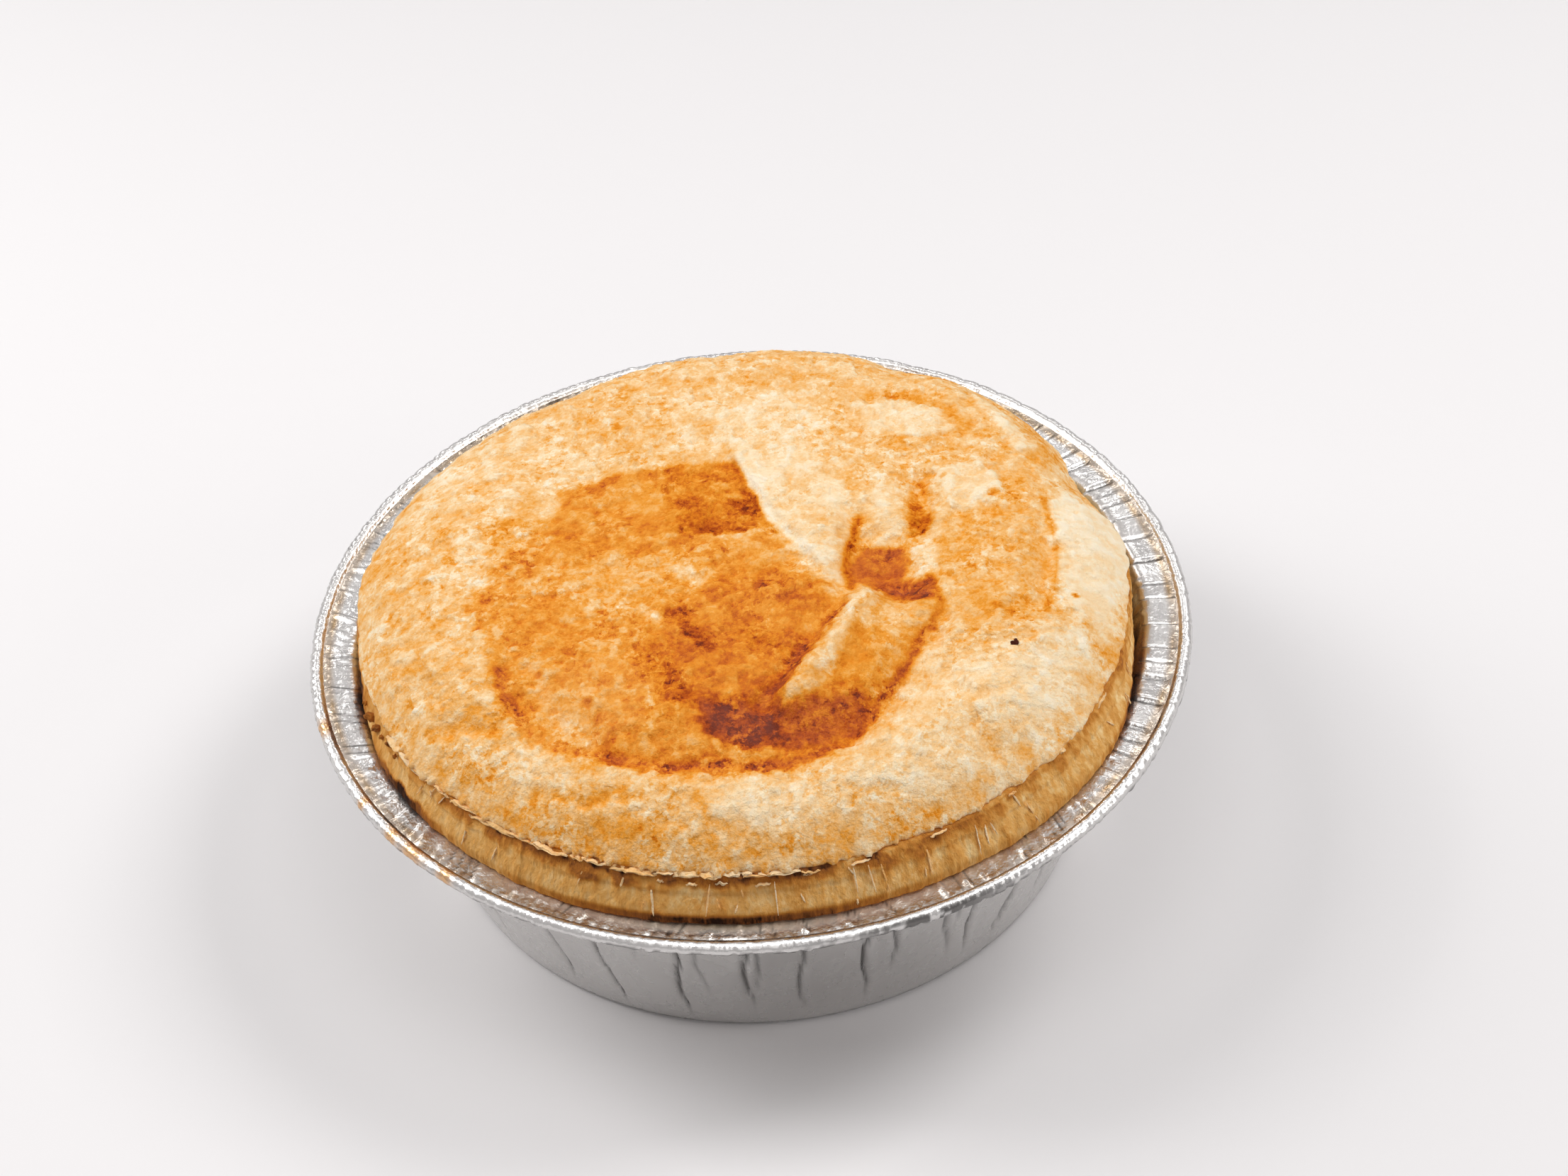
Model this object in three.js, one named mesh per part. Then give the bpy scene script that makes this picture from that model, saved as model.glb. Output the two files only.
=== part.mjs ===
import * as THREE from "three";
import { mergeVertices } from "three/addons/utils/BufferGeometryUtils.js";

// A chicken and mushroom pie standing in its own foil dish. Sizes are in millimetres and +Z is up. The
// origin is on the dish's axis, at the surface the dish stands on, and the front of the pie faces -Y.

// Foil dish
const rimRadius = 59; // outside of the rolled bead
const dishHeight = 32.4; // floor to the top of the bead
const baseRadius = 44.3; // outside of the wall where it meets the base
const wallTopRadius = 52; // outside of the wall just under the flange
const flangeInnerRadius = 53.4;
const beadRadius = 0.9; // of the rolled edge's own section
const foilThickness = 0.4;
const baseCorner = 1.2; // how far the base's corner is rounded off
const flangeDrop = 0.7; // the flange lies this far under the top of the bead
const shoulderDrop = 1.3; // from the flange down to where the wall starts
const crimpHeight = 0.28;
const pleatDepth = 0.5; // creases pressed into the wall
const pleatShare = 0.28; // how many of the wall's steps are creased
const dishSteps = 120; // steps round the dish, two to a crimp

// Pie
const pieCentre = [-0.6, -0.6]; // above the rim, the pie stands a little off the dish's axis
const pieGap = 0.45; // under the pie, to the dish's base
const pieBaseRadius = 43;
const tuckRadius = 50.7; // of the side, where it goes down inside the foil
const tuckDrop = 1.8; // from the flange down to that place
const lipRadius = 51.8; // of the side's foot above the flange, at the back
const lipLift = 0.45; // of the lip over the flange
const leanReach = 2.5; // the lip leans further out over the flange at the front
const seamRadius = 51.2; // where the lid meets the side
const seamHeight = 38.1;
const ledgeHeight = 35.8; // the side's lower line, where two layers of pastry meet
const ledgeDepth = 0.3;
const crownHeight = 45.2; // the middle of the lid
const shoulderPower = 8; // the larger, the flatter the lid and the rounder its shoulder
const lidRingStep = 1.9; // between the rings of the lid's surface
const pieSteps = 96; // steps round the pie

// Relief of the lid, in plan, as [x, y] from the dish's axis. A rise below zero is a groove or a hollow.
const pressedRing = { centre: pieCentre, radius: 40, halfWidth: 1.5 };
const rightCrease = { ...pressedRing, from: -30, to: 10, rise: -0.8 };
const frontChannel = { centre: [-3, -8], radius: 30.5, halfWidth: 3.8, from: -165, to: -15, rise: -1.5 };
const gravyPool = { from: [-4, -32.5], to: [8, -34], halfWidth: 3.4, rise: -0.8 };
const pastryRidge = { from: [4.5, -29], to: [15, -12.5], halfWidth: 2.6, rise: 1.7 };
const ridgeGroove = { from: [1, -30], to: [11.5, -14], halfWidth: 2, rise: -1.1 };
const outerGroove = { from: [11, -36], to: [24.5, -17], halfWidth: 2, rise: -1.1 };
const gravyPit = { from: [18, -2.5], to: [18.5, -10], halfWidth: 4.2, rise: -2.4 };
const leftLip = { from: [14.8, 3], to: [13, -10], halfWidth: 1.9, rise: -1.1 };
const rightLip = { from: [24, 10], to: [23.5, -1], halfWidth: 1.8, rise: -1 };
const leftDent = { from: [-38, -27.5], to: [-32.5, -29], halfWidth: 1.4, rise: -0.7 };
const rightDent = { from: [27, -35], to: [29, -38], halfWidth: 1.5, rise: -0.7 };
const backBlister = { from: [30, 29], to: [41, 17], halfWidth: 5, rise: 0.9 };
const strokes = [
  gravyPool,
  pastryRidge,
  ridgeGroove,
  outerGroove,
  gravyPit,
  leftLip,
  rightLip,
  leftDent,
  rightDent,
  backBlister,
];
const tornSheet = { from: [-0.5, 17], to: [9.5, -6], rise: 1, fade: 20 };
const lumpHeight = 0.32; // uneven rise of the baked dough
const lumpLength = 11; // from one lump to the next
const edgeWobble = 0.3; // how ragged the lid's edge is

// Where the lid falls short of a full circle: its angle and half width in degrees, and how deep
const backDip = { at: 112, halfWidth: 38, depth: 1.9 };
const backNotch = { at: 121, halfWidth: 8, depth: 1.2 };
const flapNotch = { at: 59, halfWidth: 5, depth: 1.5 };
const rightDip = { at: 17, halfWidth: 9, depth: 2.4 };
const edgeDips = [backDip, backNotch, flapNotch, rightDip];
const dipReach = 14; // how far in from the seam a dip still draws the lid's surface

const degrees = Math.PI / 180;
const chance = (k) => THREE.MathUtils.seededRandom(k);
const bell = (distance, halfWidth) => Math.exp(-((distance / halfWidth) ** 2));
const smooth = (t, low, high) => THREE.MathUtils.smoothstep(t, low, high);

// A closed body turned from a profile of [radius, height] that starts and ends on the axis. Each vertex is
// then moved by moveVertex(vertex, angle, radius), which works on places alone, so the body stays closed.
function turned(profile, steps, moveVertex) {
  const points = profile.map(([radius, height]) => new THREE.Vector2(radius, height));
  const geometry = new THREE.LatheGeometry(points, steps).rotateX(Math.PI / 2);
  const position = geometry.getAttribute("position");
  const vertex = new THREE.Vector3();
  for (let i = 0; i < position.count; i++) {
    vertex.fromBufferAttribute(position, i);
    const radius = Math.hypot(vertex.x, vertex.y);
    const angle = Math.atan2(vertex.y, vertex.x);
    moveVertex(vertex, angle, radius);
    position.setXYZ(i, vertex.x, vertex.y, vertex.z);
  }
  geometry.deleteAttribute("normal");
  geometry.deleteAttribute("uv");
  return mergeVertices(geometry, 1e-3);
}

function scaleRadius(vertex, factor) {
  vertex.x *= factor;
  vertex.y *= factor;
}

// The dish's section: out along the base, up the wall, round the bead and back down inside.
function dishProfile() {
  const beadCentre = [rimRadius - beadRadius, dishHeight - beadRadius];
  const flangeTop = dishHeight - flangeDrop;
  const grooveRadius = beadCentre[0] - beadRadius;
  const wallTop = flangeTop - shoulderDrop;
  const wallMiddle = (wallTop + baseCorner) / 2;
  const middleRadius = (baseRadius + wallTopRadius) / 2;
  const bead = [-150, -100, -50, 0, 50, 100, 150].map((turn) => [
    beadCentre[0] + beadRadius * Math.cos(turn * degrees),
    beadCentre[1] + beadRadius * Math.sin(turn * degrees),
  ]);
  return [
    [0, 0],
    [baseRadius - baseCorner, 0],
    [baseRadius, baseCorner],
    [middleRadius, wallMiddle],
    [wallTopRadius, wallTop],
    [flangeInnerRadius, flangeTop - foilThickness],
    [grooveRadius, flangeTop - foilThickness],
    ...bead,
    [grooveRadius, flangeTop],
    [flangeInnerRadius - foilThickness, flangeTop],
    [wallTopRadius - foilThickness, wallTop],
    [middleRadius - foilThickness, wallMiddle],
    [baseRadius - foilThickness, baseCorner],
    [baseRadius - baseCorner - foilThickness, foilThickness],
    [0, foilThickness],
  ];
}

// Radial crimps lift and drop the flange by turns, and creases push in some steps of the wall.
function foilDish() {
  const flangeFloor = dishHeight - flangeDrop - 2 * foilThickness;
  const crimpEnd = rimRadius - 2.6 * beadRadius;
  const shape = turned(dishProfile(), dishSteps, (vertex, angle, radius) => {
    const step = Math.round((angle / (2 * Math.PI)) * dishSteps + dishSteps) % dishSteps;
    if (vertex.z > flangeFloor && radius < crimpEnd) {
      const side = step % 2 ? 1 : -1;
      vertex.z += side * crimpHeight * (0.4 + 0.6 * chance(step + 1));
    } else if (vertex.z > 2 * baseCorner && radius < crimpEnd && chance(3 * step + 500) < pleatShare) {
      scaleRadius(vertex, 1 - (pleatDepth * vertex.z) / dishHeight / radius);
    }
  });
  const foil = new THREE.MeshStandardMaterial({ color: 0xd6d4d2, roughness: 0.3, metalness: 1 });
  const mesh = new THREE.Mesh(shape, foil);
  mesh.name = "foil_dish";
  return mesh;
}

// The rise of a straight stroke at a point in plan: full on its line, and fading to both sides and past its ends.
function strokeRise(x, y, { from, to, halfWidth, rise }) {
  const run = [to[0] - from[0], to[1] - from[1]];
  const along = ((x - from[0]) * run[0] + (y - from[1]) * run[1]) / (run[0] ** 2 + run[1] ** 2);
  const nearest = THREE.MathUtils.clamp(along, 0, 1);
  const distance = Math.hypot(x - from[0] - nearest * run[0], y - from[1] - nearest * run[1]);
  return rise * bell(distance, halfWidth);
}

// The same along part of a circle, from one angle to the other in degrees.
function arcRise(x, y, { centre, radius, halfWidth, from, to, rise }) {
  const angle = Math.atan2(y - centre[1], x - centre[0]) / degrees;
  const distance = Math.hypot(x - centre[0], y - centre[1]) - radius;
  const share = smooth(angle, from, from + 25) * (1 - smooth(angle, to - 25, to));
  return rise * share * bell(distance, halfWidth);
}

// A torn sheet of pastry stands up along its edge and sinks back into the lid to the right of it.
function sheetRise(x, y) {
  const { from, to, rise, fade } = tornSheet;
  const run = [to[0] - from[0], to[1] - from[1]];
  const length = Math.hypot(...run);
  const along = ((x - from[0]) * run[0] + (y - from[1]) * run[1]) / length;
  const side = ((y - from[1]) * run[0] - (x - from[0]) * run[1]) / length;
  const ends = smooth(along, -8, 2) * (1 - smooth(along, length - 2, length + 4));
  return rise * ends * smooth(side, -0.8, 0.8) * (1 - smooth(side, 2, fade));
}

// Lumps as broad as a fingertip, all over the lid.
function lumps(x, y) {
  const turn = (2 * Math.PI) / lumpLength;
  const first = Math.sin(x * turn + 1.3 * Math.sin(y * turn * 0.6));
  const second = Math.sin(y * turn * 1.1 + 1.7 * Math.sin(x * turn * 0.5 + 1));
  return lumpHeight * first * second;
}

function lidRelief(x, y) {
  const drawn = strokes.reduce((sum, stroke) => sum + strokeRise(x, y, stroke), 0);
  const pressed = arcRise(x, y, rightCrease) + arcRise(x, y, frontChannel);
  return drawn + pressed + sheetRise(x, y) + lumps(x, y);
}

// Height of the smooth lid at a distance from the pie's own axis.
function lidHeight(radius) {
  const rise = crownHeight - seamHeight;
  return seamHeight + rise * (1 - (radius / seamRadius) ** shoulderPower);
}

// The pie's section: out along its base, up inside the foil, out under the lip, up the side and over the lid.
function pieProfile() {
  const bottom = foilThickness + pieGap;
  const flangeTop = dishHeight - flangeDrop;
  const tuckHeight = flangeTop - tuckDrop;
  const ledgeRadius = (lipRadius + seamRadius) / 2;
  const rings = Math.round(seamRadius / lidRingStep);
  const profile = [
    [0, bottom],
    [pieBaseRadius - baseCorner, bottom],
    [pieBaseRadius, bottom + baseCorner],
    [(pieBaseRadius + tuckRadius) / 2, (bottom + tuckHeight) / 2],
    [tuckRadius, tuckHeight],
    [tuckRadius + 0.3, flangeTop + lipLift],
    [lipRadius, flangeTop + 1.4 * lipLift],
    [lipRadius, flangeTop + 4 * lipLift],
    [ledgeRadius - ledgeDepth, ledgeHeight - ledgeDepth],
    [ledgeRadius, ledgeHeight + ledgeDepth],
    [seamRadius - ledgeDepth, seamHeight - 2 * ledgeDepth],
    [seamRadius, seamHeight],
  ];
  for (let ring = rings - 1; ring >= 0; ring--) {
    const radius = (seamRadius * ring) / rings;
    profile.push([radius, lidHeight(radius)]);
  }
  return profile;
}

// How far the lid's edge falls back at an angle.
function dipDepth(angle) {
  return edgeDips.reduce((sum, { at, halfWidth, depth }) => {
    const away = THREE.MathUtils.euclideanModulo(angle / degrees - at + 180, 360) - 180;
    return sum + depth * bell(away, halfWidth);
  }, 0);
}

// The side leans out over the flange at the front and less at the left, and not at all under the seam.
function leanDepth(vertex, angle) {
  const flangeTop = dishHeight - flangeDrop;
  const front = smooth(-Math.sin(angle), 0.15, 0.6) * (1 - 0.4 * smooth(-Math.cos(angle), 0.4, 0.8));
  const share = 1 - smooth(vertex.z, flangeTop + 2 * lipLift, seamHeight + 1);
  return vertex.z > flangeTop + 1.2 * lipLift ? leanReach * front * share : 0;
}

// The lid takes its relief, which dies out towards the seam, and the edge and side waver a little.
function pie() {
  const flangeTop = dishHeight - flangeDrop;
  const shape = turned(pieProfile(), pieSteps, (vertex, angle, radius) => {
    const onLid = vertex.z >= seamHeight - 0.01;
    const raised = smooth(vertex.z, flangeTop - tuckDrop, flangeTop + lipLift);
    const overLip = smooth(vertex.z, flangeTop + lipLift, ledgeHeight);
    const waver = Math.sin(7 * angle) * 0.5 + Math.sin(17 * angle + 1) * 0.5;
    const edge = onLid ? smooth(radius, seamRadius - 4, seamRadius) : overLip;
    const dipped = onLid ? smooth(radius, seamRadius - dipReach, seamRadius) : overLip;
    const shift = edgeWobble * edge * waver - dipDepth(angle) * dipped;
    const lean = onLid ? 0 : leanDepth(vertex, angle);
    if (radius > 0) scaleRadius(vertex, 1 + (shift + lean) / radius);
    vertex.x += pieCentre[0] * raised;
    vertex.y += pieCentre[1] * raised;
    const inside = 1 - smooth(radius, seamRadius - 4, seamRadius);
    if (onLid) vertex.z += lidRelief(vertex.x, vertex.y) * inside;
  });
  const crust = new THREE.MeshStandardMaterial({ color: 0xeeb05c, roughness: 0.7, metalness: 0 });
  const mesh = new THREE.Mesh(shape, crust);
  mesh.name = "pie";
  return mesh;
}

const pieInDish = new THREE.Group();
pieInDish.add(foilDish(), pie());

export default pieInDish;
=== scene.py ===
import math
import random

import bpy
import numpy as np
from mathutils import Matrix, Vector, noise


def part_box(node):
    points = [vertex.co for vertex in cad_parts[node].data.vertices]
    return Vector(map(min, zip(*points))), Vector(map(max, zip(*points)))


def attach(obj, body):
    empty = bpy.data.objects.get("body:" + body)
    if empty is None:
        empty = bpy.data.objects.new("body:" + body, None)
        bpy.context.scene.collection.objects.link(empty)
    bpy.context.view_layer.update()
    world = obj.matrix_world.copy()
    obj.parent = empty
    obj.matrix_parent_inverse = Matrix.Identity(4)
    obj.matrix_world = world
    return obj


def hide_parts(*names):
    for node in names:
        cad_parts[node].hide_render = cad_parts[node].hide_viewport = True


# A chicken and mushroom pie in its own foil dish. Settings are in millimetres and degrees unless a
# note says otherwise; mm turns them into Blender's metres. The front of the pie faces -Y.

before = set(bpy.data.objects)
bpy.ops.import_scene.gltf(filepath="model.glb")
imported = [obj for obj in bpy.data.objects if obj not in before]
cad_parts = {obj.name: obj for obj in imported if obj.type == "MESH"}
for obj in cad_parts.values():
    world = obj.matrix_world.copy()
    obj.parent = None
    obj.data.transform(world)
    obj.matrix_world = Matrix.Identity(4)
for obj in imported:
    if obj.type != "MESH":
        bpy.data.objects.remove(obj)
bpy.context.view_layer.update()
mm = 0.001

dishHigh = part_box("foil_dish")[1]
rimRadius = dishHigh.x / mm  # outside of the rolled bead
rimTop = dishHigh.z / mm


def startPiece(name):
    piece = bpy.context.object
    piece.name = name
    piece.data.name = name
    return piece


def deselectAll():
    if bpy.context.object and bpy.context.object.mode != "OBJECT":
        bpy.ops.object.mode_set(mode="OBJECT")
    bpy.ops.object.select_all(action="DESELECT")


# The piece's vertices in millimetres, one row each
def readPlaces(piece):
    flat = np.empty(len(piece.data.vertices) * 3)
    piece.data.vertices.foreach_get("co", flat)
    return flat.reshape(-1, 3) / mm


def writePlaces(piece, places):
    piece.data.vertices.foreach_set("co", (places * mm).ravel())
    piece.data.update()


def paint(piece, name, values):
    layer = piece.data.attributes.new(name, "FLOAT", "POINT")
    layer.data.foreach_set("value", np.asarray(values, np.float32))


# Extrudes the selected loop through a profile of (radius, height), round an axis
def growLoop(profile, axis=(0, 0)):
    for (radius, height), (nextRadius, nextHeight) in zip(profile, profile[1:]):
        rise = (0, 0, (nextHeight - height) * mm)
        bpy.ops.mesh.extrude_edges_move(TRANSFORM_OT_translate={"value": rise})
        scale = nextRadius / radius
        centre = (axis[0] * mm, axis[1] * mm, 0)
        bpy.ops.transform.resize(value=(scale, scale, 1), center_override=centre)


# Closes the mesh with a face over the selected loop, and turns all its faces outward
def closeLoop():
    bpy.ops.mesh.edge_face_add()
    bpy.ops.mesh.select_all(action="SELECT")
    bpy.ops.mesh.normals_make_consistent(inside=False)
    bpy.ops.object.mode_set(mode="OBJECT")


def selectRim():
    bpy.ops.object.mode_set(mode="EDIT")
    bpy.ops.mesh.select_all(action="SELECT")
    bpy.ops.mesh.region_to_loop()


def smoothStep(values, low, high):
    share = np.clip((values - low) / (high - low), 0, 1)
    return share * share * (3 - 2 * share)


def bell(distance, halfWidth):
    return np.exp(-((distance / halfWidth) ** 2))


def turnAway(angle, middle):
    return (angle - middle + 180) % 360 - 180


# 1 at an angle and near it, fading over about the half width
def around(angle, middle, halfWidth):
    return bell(turnAway(angle, middle), halfWidth)


def findPolar(x, y):
    return np.hypot(x, y), np.degrees(np.arctan2(y, x))


# Soft lumps of about the given size, from -1 to 1, at each row of places
def lumps(places, size, seed, octaves=3, stretch=(1, 1, 1)):
    scaled = places / (np.array(stretch) * size) + seed * 17.3
    return np.array([noise.fractal(Vector(p), 1.0, 2.0, octaves) for p in scaled])


def pathDistance(x, y, path):
    nearest = np.full(x.shape, 1e6)
    for (startX, startY), (endX, endY) in zip(path, path[1:]):
        runX, runY = endX - startX, endY - startY
        share = ((x - startX) * runX + (y - startY) * runY) / (runX**2 + runY**2)
        share = np.clip(share, 0, 1)
        away = np.hypot(x - startX - share * runX, y - startY - share * runY)
        nearest = np.minimum(nearest, away)
    return nearest


# How far each place lies inside an outline, and below zero outside it
def depthInside(x, y, outline):
    closed = outline + outline[:1]
    inside = np.zeros(x.shape, bool)
    for (startX, startY), (endX, endY) in zip(closed, closed[1:]):
        if startY == endY:
            continue
        crossing = startX + (y - startY) * (endX - startX) / (endY - startY)
        inside ^= ((startY > y) != (endY > y)) & (x < crossing)
    away = pathDistance(x, y, closed)
    return np.where(inside, away, -away)


# An sRGB hex colour as Blender's linear colour
def hexColour(code):
    shares = [int(code[i : i + 2], 16) / 255 for i in (1, 3, 5)]
    linear = [s / 12.92 if s <= 0.04045 else ((s + 0.055) / 1.055) ** 2.4 for s in shares]
    return (*linear, 1.0)


def addNode(tree, kind, values=None, links=None, **settings):
    node = tree.nodes.new(kind)
    for key, value in settings.items():
        setattr(node, key, value)
    for socket, value in (values or {}).items():
        node.inputs[socket].default_value = value
    for socket, source in (links or {}).items():
        tree.links.new(source, node.inputs[socket])
    return node


def readPaint(tree, name):
    return addNode(tree, "ShaderNodeAttribute", attribute_name=name).outputs["Fac"]


# Noise whose lumps have about the given size
def addNoise(tree, place, size, detail=2.0, **more):
    values = {"Scale": 1 / (size * mm), "Detail": detail, **more}
    return addNode(tree, "ShaderNodeTexNoise", values, {"Vector": place}).outputs["Fac"]


# Stretches a share from one range to another
def addRange(tree, share, after, before=(0.0, 1.0), **settings):
    values = {"From Min": before[0], "From Max": before[1], "To Min": after[0], "To Max": after[1]}
    return addNode(tree, "ShaderNodeMapRange", values, {"Value": share}, **settings).outputs["Result"]


# Each term is a plain number or another node's output
def addMath(tree, operation, *terms):
    node = addNode(tree, "ShaderNodeMath", operation=operation)
    for socket, term in zip(node.inputs, terms):
        if isinstance(term, float):
            socket.default_value = term
        else:
            tree.links.new(term, socket)
    return node.outputs["Value"]


def startMaterial(name):
    material = bpy.data.materials.new(name)
    material.use_nodes = True
    material.node_tree.nodes.clear()
    return material, material.node_tree


def endMaterial(tree, values, links=None):
    shader = addNode(tree, "ShaderNodeBsdfPrincipled", values, links)
    addNode(tree, "ShaderNodeOutputMaterial", links={"Surface": shader.outputs["BSDF"]})


def setRamp(node, stops):
    ramp = node.color_ramp
    while len(ramp.elements) < len(stops):
        ramp.elements.new(0.5)
    for element, (position, code) in zip(ramp.elements, stops):
        element.position = position
        element.color = hexColour(code)


cameraView = {
    "place": (0.0, -282.0, 288.1),
    "forward": (0.01310, 0.74609, -0.66571),
    "up": (0.08246, 0.66270, 0.74434),
    "focalPixels": 4000,  # the focal length, in pixels of a frame 2212 wide
    "frameWidth": 2212,
    "sensorWidth": 36,
}


def addCamera():
    view = cameraView
    forward = Vector(view["forward"]).normalized()
    right = forward.cross(Vector(view["up"])).normalized()
    up = right.cross(forward)
    bpy.ops.object.camera_add()
    camera = bpy.context.object
    turn = Matrix((right, up, -forward)).transposed().to_4x4()
    camera.matrix_world = Matrix.Translation(Vector(view["place"]) * mm) @ turn
    camera.data.sensor_width = view["sensorWidth"]
    camera.data.lens = view["sensorWidth"] * view["focalPixels"] / view["frameWidth"]
    bpy.context.scene.camera = camera


# Large soft lamps at both sides and above; power in watts
studioLights = {
    "lowLeft": {"place": (-520, 170, 380), "size": 300, "power": 1.5},
    "left": {"place": (-440, 130, 600), "size": 300, "power": 1.5},
    "right": {"place": (440, 130, 600), "size": 300, "power": 2.3},
    "lowRight": {"place": (600, -160, 260), "size": 350, "power": 0.8},
    "top": {"place": (0, -70, 850), "size": 500, "power": 1.6},
    "front": {"place": (0, -520, 480), "size": 400, "power": 0.32},
}
# Bright cards round the pie, which only the foil mirrors
studioCards = {
    "backLeft": {"place": (-260, 520, 400), "size": 130, "power": 0.26},
    "backMiddle": {"place": (60, 560, 520), "size": 110, "power": 0.26},
    "backRight": {"place": (330, 470, 420), "size": 150, "power": 0.3},
    "highLeft": {"place": (-380, 260, 620), "size": 120, "power": 0.25},
    "highFront": {"place": (0, -230, 660), "size": 240, "power": 0.6},
}
lampTarget = (0, 0, 30)
studioSky = {"seen": "#efecec", "mirrored": 0.7, "glow": "#f4f3f6", "glowStrength": 0.09}


def addLights():
    for name, light in (studioLights | studioCards).items():
        bpy.ops.object.light_add(type="AREA", location=Vector(light["place"]) * mm)
        lamp = bpy.context.object
        lamp.name = name + "Light"
        lamp.data.size = light["size"] * mm
        lamp.data.energy = light["power"]
        towards = Vector(lampTarget) * mm - lamp.location
        lamp.rotation_euler = towards.to_track_quat("-Z", "Y").to_euler()
        lamp.visible_diffuse = name not in studioCards


def addBackground(tree, code, strength):
    values = {"Color": hexColour(code), "Strength": strength}
    return addNode(tree, "ShaderNodeBackground", values).outputs["Background"]


def mixShaders(tree, share, first, second):
    return addNode(tree, "ShaderNodeMixShader", links={0: share, 1: first, 2: second}).outputs["Shader"]


# A pale backdrop, which the foil mirrors dimmer, and which lights the pie only faintly
def addSky():
    world = bpy.data.worlds.new("studioSky")
    world.use_nodes = True
    tree = world.node_tree
    tree.nodes.clear()
    ray = addNode(tree, "ShaderNodeLightPath")
    seen = addBackground(tree, studioSky["seen"], 1.0)
    mirrored = addBackground(tree, studioSky["seen"], studioSky["mirrored"])
    glow = addBackground(tree, studioSky["glow"], studioSky["glowStrength"])
    bounced = mixShaders(tree, ray.outputs["Is Glossy Ray"], glow, mirrored)
    sky = mixShaders(tree, ray.outputs["Is Camera Ray"], bounced, seen)
    addNode(tree, "ShaderNodeOutputWorld", links={"Surface": sky})
    bpy.context.scene.world = world
    bpy.context.scene.view_settings.view_transform = "Standard"


floorSettings = {"radius": 1100, "steps": 96, "colour": "#efecec", "roughness": 0.55}


def addFloor():
    deselectAll()
    bpy.ops.mesh.primitive_circle_add(
        vertices=floorSettings["steps"], radius=floorSettings["radius"] * mm, fill_type="NGON")
    floor = startPiece("studio_floor")
    material, tree = startMaterial("matte white card")
    endMaterial(tree, {
        "Base Color": hexColour(floorSettings["colour"]),
        "Roughness": floorSettings["roughness"],
        "Specular IOR Level": 0.0,
    })
    floor.data.materials.append(material)


addCamera()
addLights()
addSky()
addFloor()
print("camera, lights and floor are in place")

dish = {
    "steps": 1200,  # round the dish
    "thickness": 0.12,
    "baseRadius": 44.3,
    "baseRings": (3, 24),
    "baseCorner": 1.2,
    "cornerTurns": (30, 60, 90),
    "wallTopRadius": 52.0,
    "wallSteps": 13,
    "shoulderDrop": 1.3,  # from the flange down to where the wall starts
    "shoulderBend": 0.45,
    "flangeInner": 53.4,
    "flangeDrop": 0.7,  # the flange lies this far under the top of the bead
    "flangeSteps": 5,
    "beadRadius": 0.9,
    "beadTurns": range(165, -136, -30),
}
flangeTop = rimTop - dish["flangeDrop"]
wallTop = flangeTop - dish["shoulderDrop"]
groove = rimRadius - 2 * dish["beadRadius"]  # where the flange meets the bead

# Soft dents in the wall: how far apart, how deep and how much taller than wide
wallDents = [
    {"size": 9, "depth": 0.35, "tall": 2.2, "seed": 1},
    {"size": 2.6, "depth": 0.12, "tall": 2.5, "seed": 14},
]
# The creases seen in the wall: angle at the top and at the foot, depth, and height they reach down to
wallCreases = [
    (-126.5, -127.0, 0.5, 2), (-119.5, -116.8, 0.6, 1), (-112.0, -112.6, 0.25, 14), (-105.5, -105.4, 0.6, 1),
    (-102.0, -101.2, 0.3, 8), (-94.5, -94.9, 0.6, 4), (-91.5, -95.5, 0.35, 9), (-86.8, -86.2, 0.5, 3),
    (-76.0, -76.8, 0.6, 3), (-73.0, -71.5, 0.45, 8), (-64.0, -61.5, 0.4, 6), (-61.0, -62.5, 0.35, 12),
    (-56.5, -59.0, 0.5, 4), (-47.0, -51.0, 0.4, 2),
]
# The hidden ones go on round the back at uneven gaps
moreCreases = {
    "from": -40,
    "to": 225,
    "gap": (5, 12),
    "depth": (0.25, 0.6),
    "reach": (1, 12),
    "lean": 3,
    "seed": 4,
}
# The last two set the painted shade along each crease: how dark, and how wide
creaseLook = {"width": 0.32, "fade": 7, "shadeDarkness": 1.9, "shadeWidth": 0.25}

# Ripples pressed across the flange: broad flat plates with hairline folds between them, darkened by
# painted shade, at the right, and fine sharp pleats elsewhere
flangeRipples = {
    "fineGap": (0.8, 1.8),
    "wideGap": (2.0, 5.2),
    "wideFrom": -36,
    "wideTo": 58,
    "blend": 3,
    "rise": (0.12, 0.42),
    "sink": 0.12,
    "tilt": 0.2,
    "lean": 0.5,
    # the fold's width and depth, then the width of the painted shade in it and how many fine pleats get that
    # shade
    "foldWidth": 0.26,
    "foldDepth": 0.35,
    "shadeWidth": 0.2,
    "shadedShare": 0.12,  # how many of the fine pleats have a dark fold too
    "seed": 11,
}
# The bead is uneven, with painted shade in spots on its underside and a painted dark reflection in
# dashes at the front right
beadLook = {
    "uneven": 0.12,
    "underBeadShade": 0.8,
    "dashAngle": -71,
    "dashHalfWidth": 12,
    "reflectionDarkness": 1.1,
}


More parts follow.
